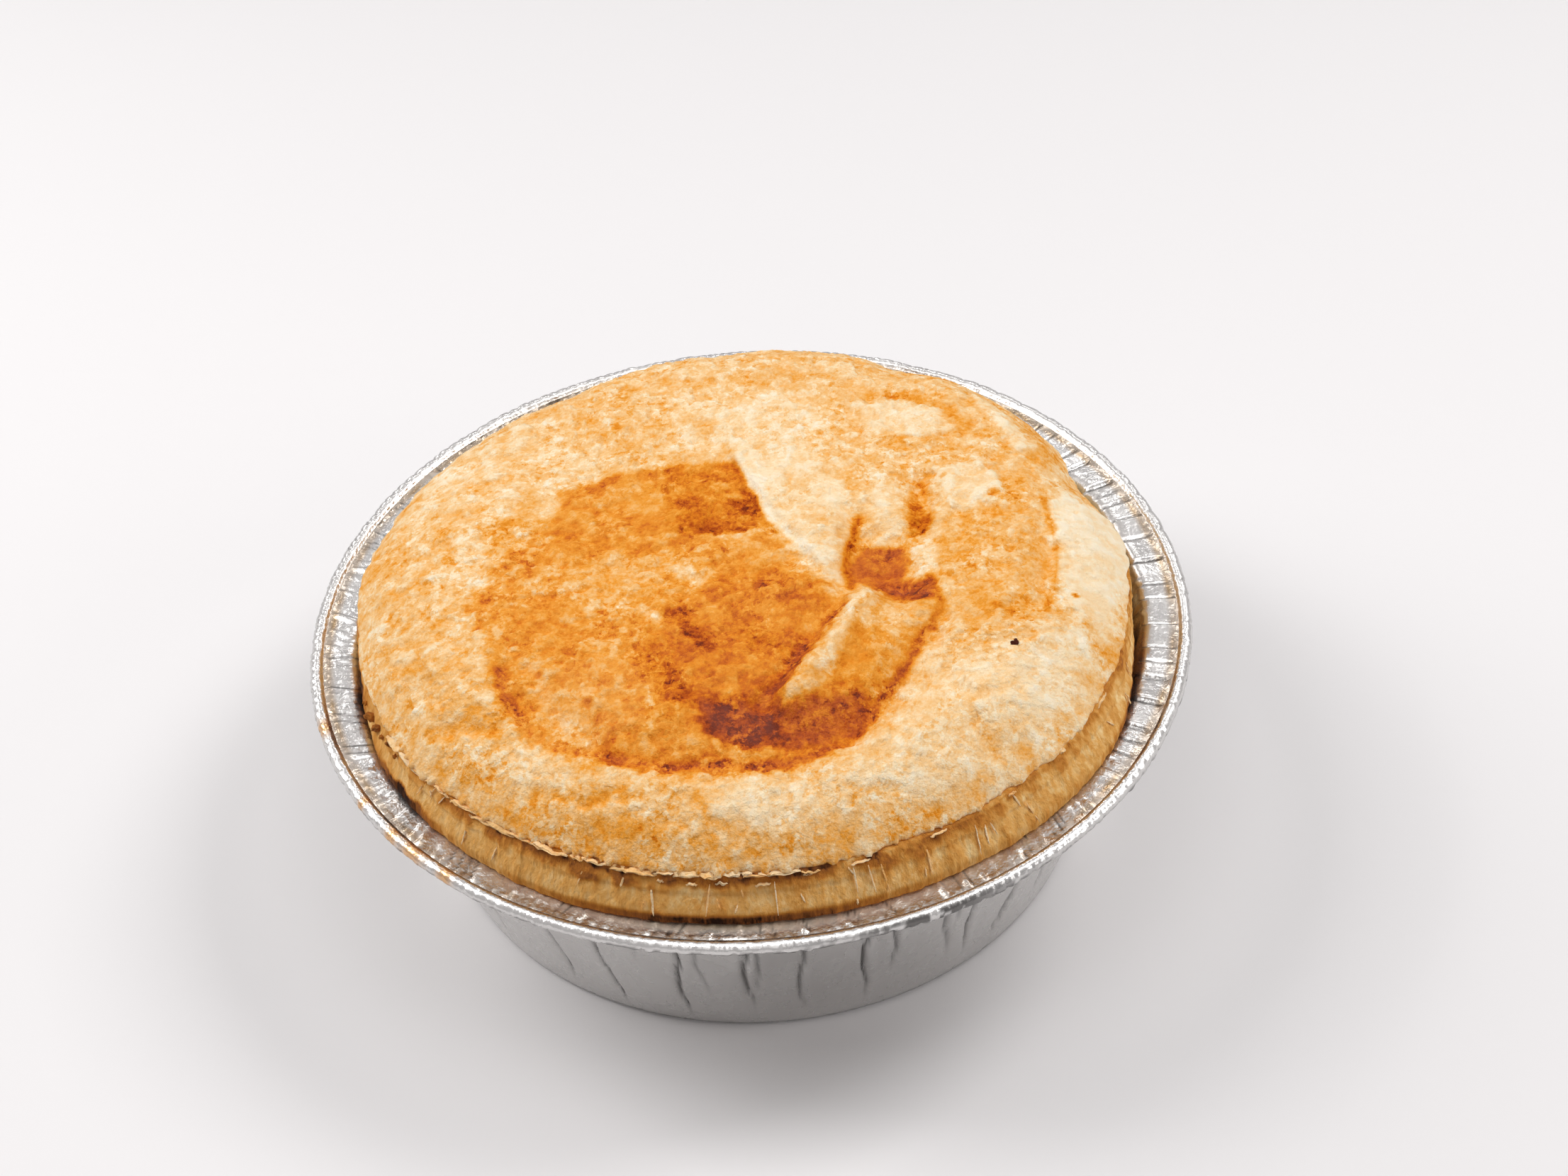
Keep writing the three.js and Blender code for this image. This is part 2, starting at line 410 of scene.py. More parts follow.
def dishProfile():
    half = dish["thickness"] / 2
    corner, foot = dish["baseCorner"], dish["baseRadius"] - dish["baseCorner"]
    beadCentre = (rimRadius - dish["beadRadius"], rimTop - dish["beadRadius"])
    beadRadius = dish["beadRadius"] - half
    profile = [(ring, half) for ring in dish["baseRings"]] + [(foot, half)]
    for turn in dish["cornerTurns"]:
        bend = math.radians(turn)
        profile.append((foot + corner * math.sin(bend), half + corner * (1 - math.cos(bend))))
    footHeight = profile[-1][1]
    for step in range(1, dish["wallSteps"] + 1):
        share = step / dish["wallSteps"]
        radius = dish["baseRadius"] + (dish["wallTopRadius"] - dish["baseRadius"]) * share
        profile.append((radius, footHeight + (wallTop - footHeight) * share))
    profile.append((dish["wallTopRadius"] + dish["shoulderBend"], flangeTop - dish["shoulderBend"]))
    for step in range(dish["flangeSteps"] + 1):
        share = step / dish["flangeSteps"]
        profile.append((dish["flangeInner"] + (groove - dish["flangeInner"]) * share, flangeTop))
    for turn in dish["beadTurns"]:
        bend = math.radians(turn)
        radius = beadCentre[0] + beadRadius * math.cos(bend)
        profile.append((radius, beadCentre[1] + beadRadius * math.sin(bend)))
    return profile


def allCreases():
    draw = random.Random(moreCreases["seed"])
    creases = list(wallCreases)
    angle = moreCreases["from"]
    while angle < moreCreases["to"]:
        foot = angle + draw.uniform(-1, 1) * moreCreases["lean"]
        depth = draw.uniform(*moreCreases["depth"])
        creases.append((angle, foot, depth, draw.uniform(*moreCreases["reach"])))
        angle += draw.uniform(*moreCreases["gap"])
    return creases


# How far the wall is pushed out, and how dark the painted shade along its creases is
def creaseWall(places, radius, angle):
    z = places[:, 2]
    onWall = smoothStep(z, 1.5, 4) * (1 - smoothStep(z, wallTop, flangeTop))
    shift = np.zeros(len(z))
    dark = np.zeros(len(z))
    for dent in wallDents:
        stretch = (1, 1, dent["tall"])
        shift += onWall * dent["depth"] * lumps(places, dent["size"], dent["seed"], 2, stretch)
    for top, foot, depth, reach in allCreases():
        # each wavers on its way down, and has a raised lip at both sides
        middle = foot + (top - foot) * z / wallTop
        middle = middle + 0.6 * np.sin(z * 0.35 + top) + 0.12 * np.sin(z * 1.1 + foot)
        across = np.radians(turnAway(angle, middle)) * radius
        length = onWall * smoothStep(z, reach, reach + creaseLook["fade"])
        fold = bell(across, creaseLook["width"])
        fold = fold - 0.4 * bell(across - 0.9, 0.6) - 0.15 * bell(across + 1.0, 0.7)
        shift -= depth * length * fold
        # a line of painted shade along the crease
        line = bell(across, creaseLook["shadeWidth"])
        dark = np.maximum(dark, creaseLook["shadeDarkness"] * depth * length * line)
    return shift, dark


# The angles where one ripple of the flange ends and the next starts
def rippleEdges():
    draw = random.Random(flangeRipples["seed"])
    edges = [-180.0]
    while edges[-1] < 180:
        wide = flangeRipples["wideFrom"] < edges[-1] < flangeRipples["wideTo"]
        gap = draw.uniform(*flangeRipples["wideGap" if wide else "fineGap"])
        edges.append(edges[-1] + math.degrees(gap / dish["flangeInner"]))
    return np.array(edges[:-1] + [180.0])


# How far the flange is lifted, how dark the painted shade in its folds is, and how far each place
# is from a fold
def rippleFlange(places, radius, angle):
    look = flangeRipples
    onFlange = smoothStep(radius, dish["wallTopRadius"] - 0.4, dish["flangeInner"] + 0.5)
    onFlange = onFlange * (1 - smoothStep(radius, groove - 0.5, groove)) * (places[:, 2] > wallTop - 3)
    edges = rippleEdges()
    among = smoothStep(angle, look["wideFrom"] - look["blend"], look["wideFrom"])
    among = among * (1 - smoothStep(angle, look["wideTo"], look["wideTo"] + look["blend"]))
    leaning = angle + look["lean"] * (1 - among) * (radius - 55) * np.sin(angle * 0.11 + 1)
    leaning = np.clip(leaning, -179.999, 179.999)
    index = np.searchsorted(edges, leaning) - 1
    start, end = edges[index], edges[index + 1]
    share = (leaning - start) / (end - start)
    width = np.radians(end - start) * radius
    wide = width > look["fineGap"][1] + 0.3
    draw = random.Random(look["seed"] + 1)
    rises = np.array([draw.uniform(*look["rise"]) for edge in edges])
    tilts = np.array([draw.uniform(-1, 1) for edge in edges])
    peaks = np.array([draw.uniform(0.25, 0.75) for edge in edges])
    folded = np.array([draw.random() for edge in edges]) < look["shadedShare"]
    peak = peaks[index]
    sharp = np.where(share < peak, share / peak, (1 - share) / (1 - peak))
    toFold = np.minimum(share, 1 - share) * width
    plate = look["tilt"] * tilts[index] * (share - 0.5) * width
    plate = plate - look["foldDepth"] * bell(toFold, look["foldWidth"])
    plate += 0.12 * lumps(places, 4, 6, 2)
    pleats = rises[index] * sharp * (0.75 + 0.9 * lumps(places, 1.8, 12, 2))
    lift = onFlange * (np.where(wide, plate, pleats) - look["sink"])
    # painted shade along the folds
    dark = onFlange * (wide | folded[index]) * bell(toFold, look["shadeWidth"])
    return lift, dark, toFold


# Moves the foil's vertices, and returns them with the painted shade of its folds, creases and bead
def creaseDish(places):
    x, y, z = places.T
    radius, angle = findPolar(x, y)
    shift, wallFoldShade = creaseWall(places, radius, angle)
    lift, flangeFoldShade, toFold = rippleFlange(places, radius, angle)
    onBead = smoothStep(radius, groove - 0.1, groove + 0.3)
    uneven = beadLook["uneven"] * lumps(places, 3.0, 5, 3) - beadLook["uneven"] * bell(toFold, 0.25)
    shift += onBead * uneven
    lift += onBead * 0.8 * uneven
    # painted shade in spots under the bead, and a painted dark reflection in dashes on it at the front right
    shadeUnderBead = smoothStep(lumps(places, 1.6, 7, 2), 0.1, 0.35) * (z < rimTop - 0.9) * (radius > rimRadius - 1.2)
    dashes = smoothStep(lumps(places, 1.3, 18, 2), -0.3, -0.15)
    dashes *= around(angle, beadLook["dashAngle"], beadLook["dashHalfWidth"]) * (radius > rimRadius - 0.9)
    dashes *= smoothStep(rimTop - z, 0.1, 0.3) * (1 - smoothStep(rimTop - z, 1.6, 1.8))
    beadShade = np.maximum(beadLook["underBeadShade"] * shadeUnderBead, beadLook["reflectionDarkness"] * dashes)
    dark = np.maximum(np.maximum(wallFoldShade, flangeFoldShade), beadShade)
    factor = 1 + shift / np.maximum(radius, 1)
    return np.column_stack([x * factor, y * factor, z + lift]), np.clip(dark, 0, 1)


# Rolled aluminium foil, pressed into a die: bright and satin, with fine drawing lines up the wall
# that blur what it mirrors. Painted shade darkens its folds, creases and the underside of the bead, and
# gravy and fat are baked on. A dull beige coat is painted on the inner part of the flange in front, a
# painted reflection of the crust, so that the foil mirrors little there.
foilLook = {
    "metal": "#d2d0ce",
    # a dull beige, painted as a reflection of the crust on the flange in front
    "paintedReflection": "#e0c4a2",
    # the colour of baked-on fat, also used for the painted shade at the wall's shoulder
    "greaseAndShade": "#b09470",
    "stain": "#d79a45",
    # the painted shade in folds, creases and under the bead, and the bead's painted dark reflection
    "fold": "#3b3734",
    "reflectionMetallic": 0.1,
    "roughness": (0.2, 0.34),
    "wrinkle": 2.4,
    "drawingLines": 0.5,
    "crumple": 0.8,
    "crumpleHeight": 4.0,
}


def makeFoilMaterial():
    material, tree = startMaterial("pressed aluminium foil")
    place = addNode(tree, "ShaderNodeTexCoord").outputs["Object"]
    upright = addNode(tree, "ShaderNodeMapping", {"Scale": (1, 1, 0.08)}, {"Vector": place})
    lines = addNoise(tree, upright.outputs["Vector"], foilLook["drawingLines"])
    wrinkles = addNoise(tree, place, foilLook["wrinkle"], 3.0)
    crumples = addNoise(tree, place, foilLook["crumple"])
    colour = addNode(tree, "ShaderNodeRGB").outputs["Color"]
    colour.default_value = hexColour(foilLook["metal"])
    # a colour mix takes its share at input 0 and its colours at 6 and 7
    for tint in ("paintedReflection", "greaseAndShade", "stain", "fold"):
        links = {0: readPaint(tree, tint), 6: colour}
        values = {7: hexColour(foilLook[tint])}
        colour = addNode(tree, "ShaderNodeMix", values, links, data_type="RGBA").outputs[2]
    height = addMath(tree, "MULTIPLY_ADD", lines, 0.3, wrinkles)
    height = addMath(tree, "MULTIPLY_ADD", crumples, readPaint(tree, "crumple"), height)
    bump = addNode(tree, "ShaderNodeBump", {"Strength": 0.3, "Distance": 0.1 * mm}, {"Height": height})
    endMaterial(tree, {}, {
        "Metallic": addRange(tree, readPaint(tree, "paintedReflection"), (1.0, foilLook["reflectionMetallic"])),
        "Base Color": colour,
        "Roughness": addRange(tree, wrinkles, foilLook["roughness"]),
        "Normal": bump.outputs["Normal"],
    })
    return material


# Spots of baked-on gravy on the bead: angle, and half width in millimetres
beadStains = [(-165, 1.6), (-143, 1.4), (-139, 2.2), (-133, 1.2), (-150, 0.8)]
# Fat lies in the groove all round, though little in front; on the flange in front a dull beige coat
# is painted as a reflection of the crust
greaseLook = {
    "halfWidth": 0.6,
    "cleanAngle": -92,
    "cleanHalfWidth": 34,
    "reflectionAngle": -97,
    "reflectionHalfWidth": 32,
}


def paintDish(foil, places, dark):
    x, y, z = places.T
    radius, angle = findPolar(x, y)
    look = greaseLook
    uneven = lumps(places, 4, 8)
    band = bell(radius - groove + 0.45 + 0.15 * uneven, look["halfWidth"]) * (z > rimTop - 2)
    band = band * (1 - 0.75 * around(angle, look["cleanAngle"], look["cleanHalfWidth"]))
    # painted shade in the gap between the crust and the flange, at the wall's shoulder
    shoulder = bell(radius - dish["wallTopRadius"] - 0.6, 0.9) * (z > rimTop - 3)
    stain = np.zeros(len(x))
    for middle, halfWidth in beadStains:
        away = np.radians(turnAway(angle, middle)) * radius
        spot = bell(away + 0.5 * uneven, halfWidth) * smoothStep(radius, groove, groove + 0.6)
        stain = np.maximum(stain, spot)
    flange = smoothStep(radius, dish["flangeInner"] - 0.5, dish["flangeInner"] + 0.5) * (z > rimTop - 1.5)
    # painted reflection of the crust: a dull beige coat on the inner flange in front
    paintedReflection = around(angle, look["reflectionAngle"], look["reflectionHalfWidth"])
    paintedReflection = paintedReflection * flange * (1 - smoothStep(radius + 0.4 * uneven, 55.3, 56.3))
    paint(foil, "paintedReflection", paintedReflection * (0.8 + 0.3 * uneven))
    paint(foil, "crumple", foilLook["crumpleHeight"] * flange)
    # baked-on fat in the groove and the painted shade at the shoulder share one colour
    paint(foil, "greaseAndShade", np.clip(band * (0.9 + 0.4 * uneven) + 0.2 * shoulder, 0, 1))
    paint(foil, "stain", 0.75 * stain)
    # painted shade and painted dark reflection, in the fold colour
    paint(foil, "fold", 0.8 * dark)


def makeDish():
    profile = dishProfile()
    deselectAll()
    bpy.ops.mesh.primitive_circle_add(
        vertices=dish["steps"], radius=profile[0][0] * mm, fill_type="TRIFAN",
        location=(0, 0, profile[0][1] * mm))
    foil = startPiece("foil_shell")
    bpy.ops.object.transform_apply(location=True)
    selectRim()
    growLoop(profile)
    bpy.ops.object.mode_set(mode="OBJECT")
    places, dark = creaseDish(readPlaces(foil))
    writePlaces(foil, places)
    paintDish(foil, places, dark)
    wall = foil.modifiers.new("foil thickness", "SOLIDIFY")
    wall.thickness = dish["thickness"] * mm
    wall.offset = 0
    bpy.ops.object.modifier_apply(modifier=wall.name)
    bpy.ops.object.shade_smooth()
    foil.data.materials.append(makeFoilMaterial())
    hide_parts("foil_dish")
    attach(foil, "root")
    print("foil dish:", len(foil.data.polygons), "faces")
    return foil


makeDish()

pie = {
    "centre": (-0.6, -0.6),
    "seamRadius": 51.2,  # the lid's edge, which juts over the side
    "seamHeight": 38.1,
    "crownHeight": 45.2,
    "shoulderPower": 8,  # the larger, the flatter the lid and the rounder its shoulder
    "lidCells": 288,
    "lidUnderside": 36.9,
    "dipReach": 14,  # how far in from the seam a dip still draws the lid's surface
}

# Where the lid falls short of a full circle: angle, half width in degrees, and how deep
edgeDips = [(112, 38, 1.9), (121, 8, 1.2), (59, 5, 1.5), (17, 9, 2.4)]


def dipDepth(angle):
    depth = np.zeros(angle.shape)
    for middle, halfWidth, deep in edgeDips:
        depth += deep * around(angle, middle, halfWidth)
    return depth


# Marks baked, torn and pressed into the lid, in plan, in the order they are laid on. An outline is a
# patch with a feathered edge and a path is a stroke; ragged wavers the edge. bake is the colour it
# takes, from 0, pale cream, to 1, dark gravy, and cover how much of it; rise lifts or sinks it; calm
# evens out the flecks, and gloss is how greasy it is.
lidMarks = {
    "golden back": dict(outline=[(-30, 24), (-14, 30), (0, 32), (14, 31), (26, 27), (34, 28), (30, 42),
        (10, 50), (-14, 50), (-34, 38)], feather=4, ragged=5, bake=0.33, cover=0.6),
    "pale back left": dict(outline=[(-44, 12), (-30, 16), (-24, 24), (-30, 34), (-44, 28)], feather=4,
        ragged=5, bake=0.2, cover=0.6),
    "left border": dict(outline=[(-52, 8), (-38, 2), (-36, -8), (-36, -20), (-40, -30), (-52, -22)],
        feather=3, ragged=4, bake=0.36, cover=0.6),
    "front left gold": dict(outline=[(-40, -26), (-30, -33), (-22, -38), (-10, -41.5), (-8, -50),
        (-26, -47), (-40, -38)], feather=2, ragged=4, bake=0.33, cover=0.65),
    # painted shade in shallow cracks at the front left, over a slight real groove
    "tan streak": dict(path=[(-27, -39.5), (-22, -42), (-15, -42.5)], halfWidth=0.9, ragged=1.2,
        bake=0.68, cover=0.55, rise=-0.35),
    "tan streak by the seam": dict(path=[(-33, -38.5), (-22, -45), (-8, -49)], halfWidth=1.2, ragged=1.6,
        bake=0.6, cover=0.5),
    "brown field": dict(outline=[(-32, 2), (-36, -8), (-34, -16), (-32, -20), (-31, -25), (-28, -31),
        (-24, -33.5), (-20, -35), (-17, -37), (-13, -38), (-9, -39.5), (0, -40), (3, -39.5), (8, -37.5),
        (12, -36), (14, -33), (18, -28), (21, -22), (24.5, -17), (20, -11), (12, -12), (8, -6), (3, 1),
        (-5, 2), (-14, 3), (-22, 4)], feather=0.9, ragged=2.2, bake=0.57, cover=0.95, gloss=0.5,
        calm=0.2),
    "field, lighter middle": dict(outline=[(-22, -1), (-10, 0), (-5, -5), (-9, -11), (-20, -12),
        (-24, -7)], feather=2, ragged=4, bake=0.4, cover=0.75),
    "field, browner": dict(outline=[(-9, -9), (0, -6), (8, -8), (10, -14), (6, -22), (2, -29), (-6, -29),
        (-13, -31), (-14, -20)], feather=2.5, ragged=4, bake=0.7, cover=0.85, gloss=0.6, calm=0.4),
    "dark mottle": dict(path=[(-9, -13), (-6, -19)], halfWidth=1.5, ragged=1.8, bake=0.86, cover=0.6),
    "dark mottle, left": dict(path=[(-11.5, -21), (-9, -28)], halfWidth=1.7, ragged=1.8, bake=0.86,
        cover=0.6),
    "dark mottle, right": dict(path=[(-1, -17.5), (2.5, -20)], halfWidth=1.2, ragged=1.4, bake=0.86,
        cover=0.6),
    "cream flecks": dict(path=[(-9, -3.5), (-6, -7)], halfWidth=1.3, ragged=1.6, bake=0.2, cover=0.75),
    "cream flecks, left": dict(path=[(-16.5, -11), (-14, -11), (-11, -14)], halfWidth=0.7, ragged=1.2,
        bake=0.24, cover=0.7),
    "greasy gold": dict(outline=[(-27, -20), (-14, -20), (-12, -26), (-13, -32), (-20, -34), (-25, -29)],
        feather=1.5, ragged=2.5, bake=0.55, cover=0.85, gloss=0.8, calm=0.5),
    "upper patch": dict(outline=[(-25, 7), (-24, 13.5), (-16, 15.5), (-9, 16), (2, 16.6), (2.5, 9),
        (2.5, 2.5), (-5, 2), (-10, 2.6), (-14, 2.5), (-20, 2.5), (-28, 5)], feather=0.6, ragged=1.4,
        bake=0.61, cover=0.92, gloss=0.5, calm=0.4),
    "upper patch, light middle": dict(outline=[(-15.5, 13.5), (-10.5, 13.5), (-9.8, 7), (-14.5, 7)],
        feather=0.8, ragged=1.5, bake=0.44, cover=0.85, calm=0.6),
    "upper patch, right square": dict(outline=[(-10, 16.5), (2, 16.6), (2.5, 8), (2.5, 2.5), (-6, 2),
        (-10, 3)], feather=0.5, ragged=0.7, bake=0.67, cover=0.85),
    "upper patch, darkest": dict(outline=[(-1.5, 8.6), (2.4, 9), (2.7, 5.4), (0, 5.2)], feather=0.7,
        ragged=1.2, bake=0.93, cover=0.85),
    "upper patch, dark left": dict(outline=[(-7.5, 6), (-4, 6), (-3.5, 3), (-7.5, 2.6)], feather=0.8,
        ragged=1.4, bake=0.84, cover=0.7),
    "upper patch, foot": dict(path=[(-5, 2.4), (0.8, 2.6)], halfWidth=0.6, ragged=0.6, bake=0.86,
        cover=0.8),
    "tail of the patch": dict(path=[(-27, 6.5), (-31.5, 7.5)], halfWidth=1.5, ragged=1.8, bake=0.6,
        cover=0.7),
    "fold in the patch": dict(path=[(-19, 10), (-18, 8), (-20, 5)], halfWidth=0.5, ragged=0.4, bake=0.34,
        cover=0.6, rise=0.25),
    "top of the sheet": dict(outline=[(-2, 18), (6, 15), (14, 17), (16, 24), (10, 32), (0, 31), (-4, 25)],
        feather=3, ragged=4, bake=0.12, cover=0.75, calm=0.3),
    "torn sheet": dict(outline=[(-0.2, 17), (1.5, 11), (2.3, 10), (2.7, 7), (3.5, 4.5), (5, 1.5),
        (6.5, -1), (8, -3.5), (10, -6), (11.5, -9), (13.4, -9), (13, -4), (14.3, 2), (14.8, 8), (14, 15),
        (5, 20)], feather=0.3, ragged=0.8, bake=0.13, cover=0.88, calm=0.6),
    "sheet, lower half": dict(outline=[(6, 9), (12, 11), (14, 3), (12.4, -7), (9.5, -3)], feather=2,
        ragged=3, bake=0.28, cover=0.65, calm=0.4),
    "sheet, right half": dict(outline=[(11, 19), (13, 9), (15, 4), (17, 8), (22, 10), (24, 14), (22, 24),
        (15, 28)], feather=2.5, ragged=4, bake=0.32, cover=0.7),
    "edge of the sheet": dict(path=[(0.4, 17), (2.1, 11), (2.9, 10), (3.3, 7), (4.1, 4.5), (5.6, 1.5),
        (7.1, -1), (8.6, -3.5), (10.6, -6)], halfWidth=0.45, ragged=0.4, bake=0.0, cover=0.95),
    "white flakes of the sheet": dict(path=[(7.2, -1.6), (8.6, -3.2), (10.2, -5.2)], halfWidth=0.9,
        ragged=0.8, bake=0.0, cover=0.85, rise=0.3),
    "under the sheet's edge": dict(path=[(-0.6, 16), (1.1, 10.5), (2, 7), (2.9, 4), (4.3, 1)],
        halfWidth=0.5, ragged=0.4, bake=0.78, cover=0.75),
    "middle right": dict(outline=[(25, 14), (38, 12), (40, 4), (39.6, -10), (36, -19), (26, -18),
        (25, -9), (26, 2)], feather=1.4, ragged=3, bake=0.4, cover=0.8),
    "right flake": dict(outline=[(26, 12), (33, 12.5), (35, 10), (34.5, 6), (32, 3), (28, 3), (26, 7)],
        feather=0.4, ragged=1.8, bake=0.15, cover=0.85, rise=0.3, calm=0.5),
    "orange shoulder": dict(outline=[(22, 20), (26, 30), (33, 36), (40, 30), (46, 20), (48, 8), (40, 9),
        (36, 14), (28, 15)], feather=2.5, ragged=4, bake=0.38, cover=0.75),
    "back flake": dict(outline=[(17, 27), (20, 28), (24, 27), (27.5, 24.5), (30, 20.5), (28.5, 19.5),
        (24, 19), (19, 20)], feather=0.6, ragged=2, bake=0.17, cover=0.85, rise=0.2, calm=0.5),
    "under the back flake": dict(path=[(20, 29), (25, 28.2), (29, 25), (31.5, 21)], halfWidth=1.2,
        ragged=1.4, bake=0.6, cover=0.7, rise=-0.2),
    "long back flake": dict(outline=[(33, 30.5), (36, 28.5), (38.6, 23), (40.3, 16), (38, 15), (36.4, 20),
        (33.5, 26)], feather=0.4, ragged=1.0, bake=0.12, cover=0.9, rise=0.35, calm=0.5),
    "flap's edge": dict(path=[(39.5, 28), (41.6, 23), (42, 18), (41, 14)], halfWidth=1.1, ragged=1.0,
        bake=0.54, cover=0.8),
    "pale right shoulder": dict(outline=[(40.9, 5), (44, 6.5), (48, 7.5), (53, 5), (53, -6), (52, -15),
        (45, -17), (40, -15), (40.6, -9), (41.1, -4)], feather=1.4, ragged=2.4, bake=0.07, cover=0.95,
        calm=1.0),
    "front right": dict(outline=[(22, -25), (30, -22), (40, -24), (46, -20), (40, -38), (28, -46),
        (14, -46), (14, -38)], feather=2.4, ragged=4, bake=0.16, cover=0.8, calm=0.4),
    "front right cream": dict(outline=[(36, -20), (41, -18), (45, -21), (41, -32), (34, -36), (31, -33),
        (34, -26)], feather=2.5, ragged=3.5, bake=0.1, cover=0.8, calm=0.6),
    "front cream": dict(outline=[(-5, -42), (4, -42.5), (8, -46), (0, -48.5), (-7, -47)], feather=1.6,
        ragged=3, bake=0.2, cover=0.8, calm=0.5),
    "front middle": dict(outline=[(7, -41), (14, -38.5), (22, -42), (18, -49), (6, -50.5)], feather=1.8,
        ragged=3, bake=0.24, cover=0.75, calm=0.3),
    # painted shade where the lid's edge rounds down to the seam in front
    "painted shade on the front shoulder": dict(arc=(50.2, -150, -12), halfWidth=1.4, ragged=2.0, bake=0.46, cover=0.5),
    "rim line, left": dict(path=[(-32, -20), (-31, -25), (-28, -31), (-24, -33.5), (-18, -36)],
        halfWidth=1.2, ragged=0.9, bake=0.8, cover=0.8, rise=-0.3, gloss=0.7),
    "rim line": dict(path=[(-18, -36), (-12, -38.3), (-8, -38.5), (0, -39.5), (3, -39.5), (9, -37)],
        halfWidth=1.3, ragged=0.9, bake=0.83, cover=0.85, rise=-0.4, gloss=0.7),
    "greasy streak": dict(path=[(-28, -20), (-26.5, -23), (-26, -26), (-24.5, -28), (-23, -31),
        (-21, -33)], halfWidth=1.2, ragged=1.2, bake=0.36, cover=0.65, gloss=1.0),
    "pale streak": dict(path=[(-13, -26), (-13.5, -29)], halfWidth=0.6, ragged=0.5, bake=0.3, cover=0.7,
        gloss=0.8),
    "pastry strip": dict(outline=[(16, -12), (22, -14.5), (24.3, -16), (20, -23), (16, -28.3), (9.5, -29),
        (10, -22), (13, -16)], feather=0.6, ragged=0.6, bake=0.55, cover=0.95, calm=0.5),
    "pastry strip, top": dict(outline=[(15, -12), (21, -14.3), (22, -17), (18, -20), (14.5, -19),
        (13, -16)], feather=1.6, ragged=2, bake=0.29, cover=0.8, calm=0.5),
    "pale ridge": dict(outline=[(3.2, -31), (6.4, -25), (9.4, -20), (12.3, -15), (15.2, -11.4),
        (16.2, -12.2), (13.7, -17), (11.2, -22), (10, -26), (8.2, -29.2)], feather=0.5, ragged=0.6,
        bake=0.34, cover=0.95, calm=0.3),
    "bright ridge line": dict(path=[(15.4, -12), (12.4, -17), (10, -22), (8.6, -26)], halfWidth=0.55,
        ragged=0.4, bake=0.16, cover=0.65),
    "ridge foot": dict(path=[(2, -29.5), (4, -26.5), (5.8, -23), (8.6, -18.5), (12, -14)], halfWidth=0.8,
        ragged=0.8, bake=0.84, cover=0.8, gloss=0.6),
    "gravy crescent": dict(outline=[(-7, -28.6), (-2, -29.5), (2, -30), (4, -31.6), (8, -29.4),
        (14, -29.4), (14.6, -32), (12, -35.3), (6, -36.6), (0, -37), (-5, -35.8), (-8, -32.5)],
        feather=0.8, ragged=1.6, bake=0.85, cover=0.92, gloss=0.7, calm=0.4),
    "gravy crescent, dark end": dict(outline=[(-6.8, -28.8), (0, -29.8), (2.5, -31.5), (3, -34.5),
        (0, -36.2), (-4, -35.6), (-7, -32.5)], feather=1.2, ragged=1.6, bake=0.96, cover=0.85, gloss=0.9,
        calm=0.3),
    "brown tail": dict(path=[(0.5, -30), (4, -27), (5.5, -23), (7, -20)], halfWidth=1.2, ragged=0.8,
        bake=0.87, cover=0.7, gloss=0.7),
    "strip border": dict(path=[(24.5, -15), (23, -18), (20.5, -22), (18, -26), (15, -30), (12.4, -35)],
        halfWidth=0.8, ragged=0.8, bake=0.84, cover=0.85, gloss=0.6),
    "pit border": dict(path=[(23.5, -9), (24.4, -13), (24.6, -16)], halfWidth=0.7, ragged=0.5, bake=0.72,
        cover=0.8),
    "gravy pit": dict(outline=[(15, -1.4), (21, -2), (21.5, -5), (21, -8), (24, -10), (24.3, -14),
        (20, -13), (17, -10), (15, -8), (13.5, -9), (13.4, -5)], feather=0.8, ragged=1.0, bake=0.8,
        cover=0.95, gloss=0.7, calm=0.6),
    "pit, lower lobe": dict(path=[(18, -9.5), (20.5, -11), (23, -12.3)], halfWidth=1.2, ragged=0.6,
        bake=0.87, cover=0.7, gloss=0.9),
    "left lip": dict(path=[(15.5, 3), (14.4, 0), (13.1, -4), (13.3, -9.5)], halfWidth=0.65, ragged=0.5,
        bake=0.9, cover=0.85),
    "right lip": dict(outline=[(21.6, -1.4), (22, 3), (22.6, 8), (24.4, 10.6), (25.2, 4), (24.6, 0.6),
        (23.2, -1.4)], feather=0.6, ragged=1.0, bake=0.76, cover=0.85),
    "white flecks of the lip": dict(path=[(23.9, 8.4), (24.6, 3.2)], halfWidth=0.35, ragged=0.9, bake=0.1,
        cover=0.6),
    "tongue": dict(outline=[(16.4, 7), (16.8, 2), (16.6, -1.4), (20.8, -1.6), (21.2, 3), (20.4, 8)],
        feather=0.9, ragged=1.3, bake=0.2, cover=0.85, calm=0.4),
    # pale flakes on the pit's right wall, made paler still as painted light where that wall is lit
    "lit wall of the pit": dict(outline=[(22, -1.2), (24.6, 0), (24.8, -8), (22, -9)], feather=0.5,
        ragged=1.2, bake=0.2, cover=0.8),
    # painted shade along the crease on the right, which lidArcs also sink
    "right crease": dict(path=[(40.3, 5), (40.7, -4), (40.2, -9), (39, -13), (37.8, -17)], halfWidth=0.5,
        ragged=0.4, bake=0.66, cover=0.85),
    # the two dents: their darker colour is painted shade, and lidStrokes sink them
    "left dent": dict(path=[(-38, -27.5), (-32.5, -29)], halfWidth=1.0, ragged=0.8, bake=0.68, cover=0.6),
    "right dent": dict(path=[(27, -35), (29, -38)], halfWidth=1.0, ragged=0.6, bake=0.56, cover=0.6),
}

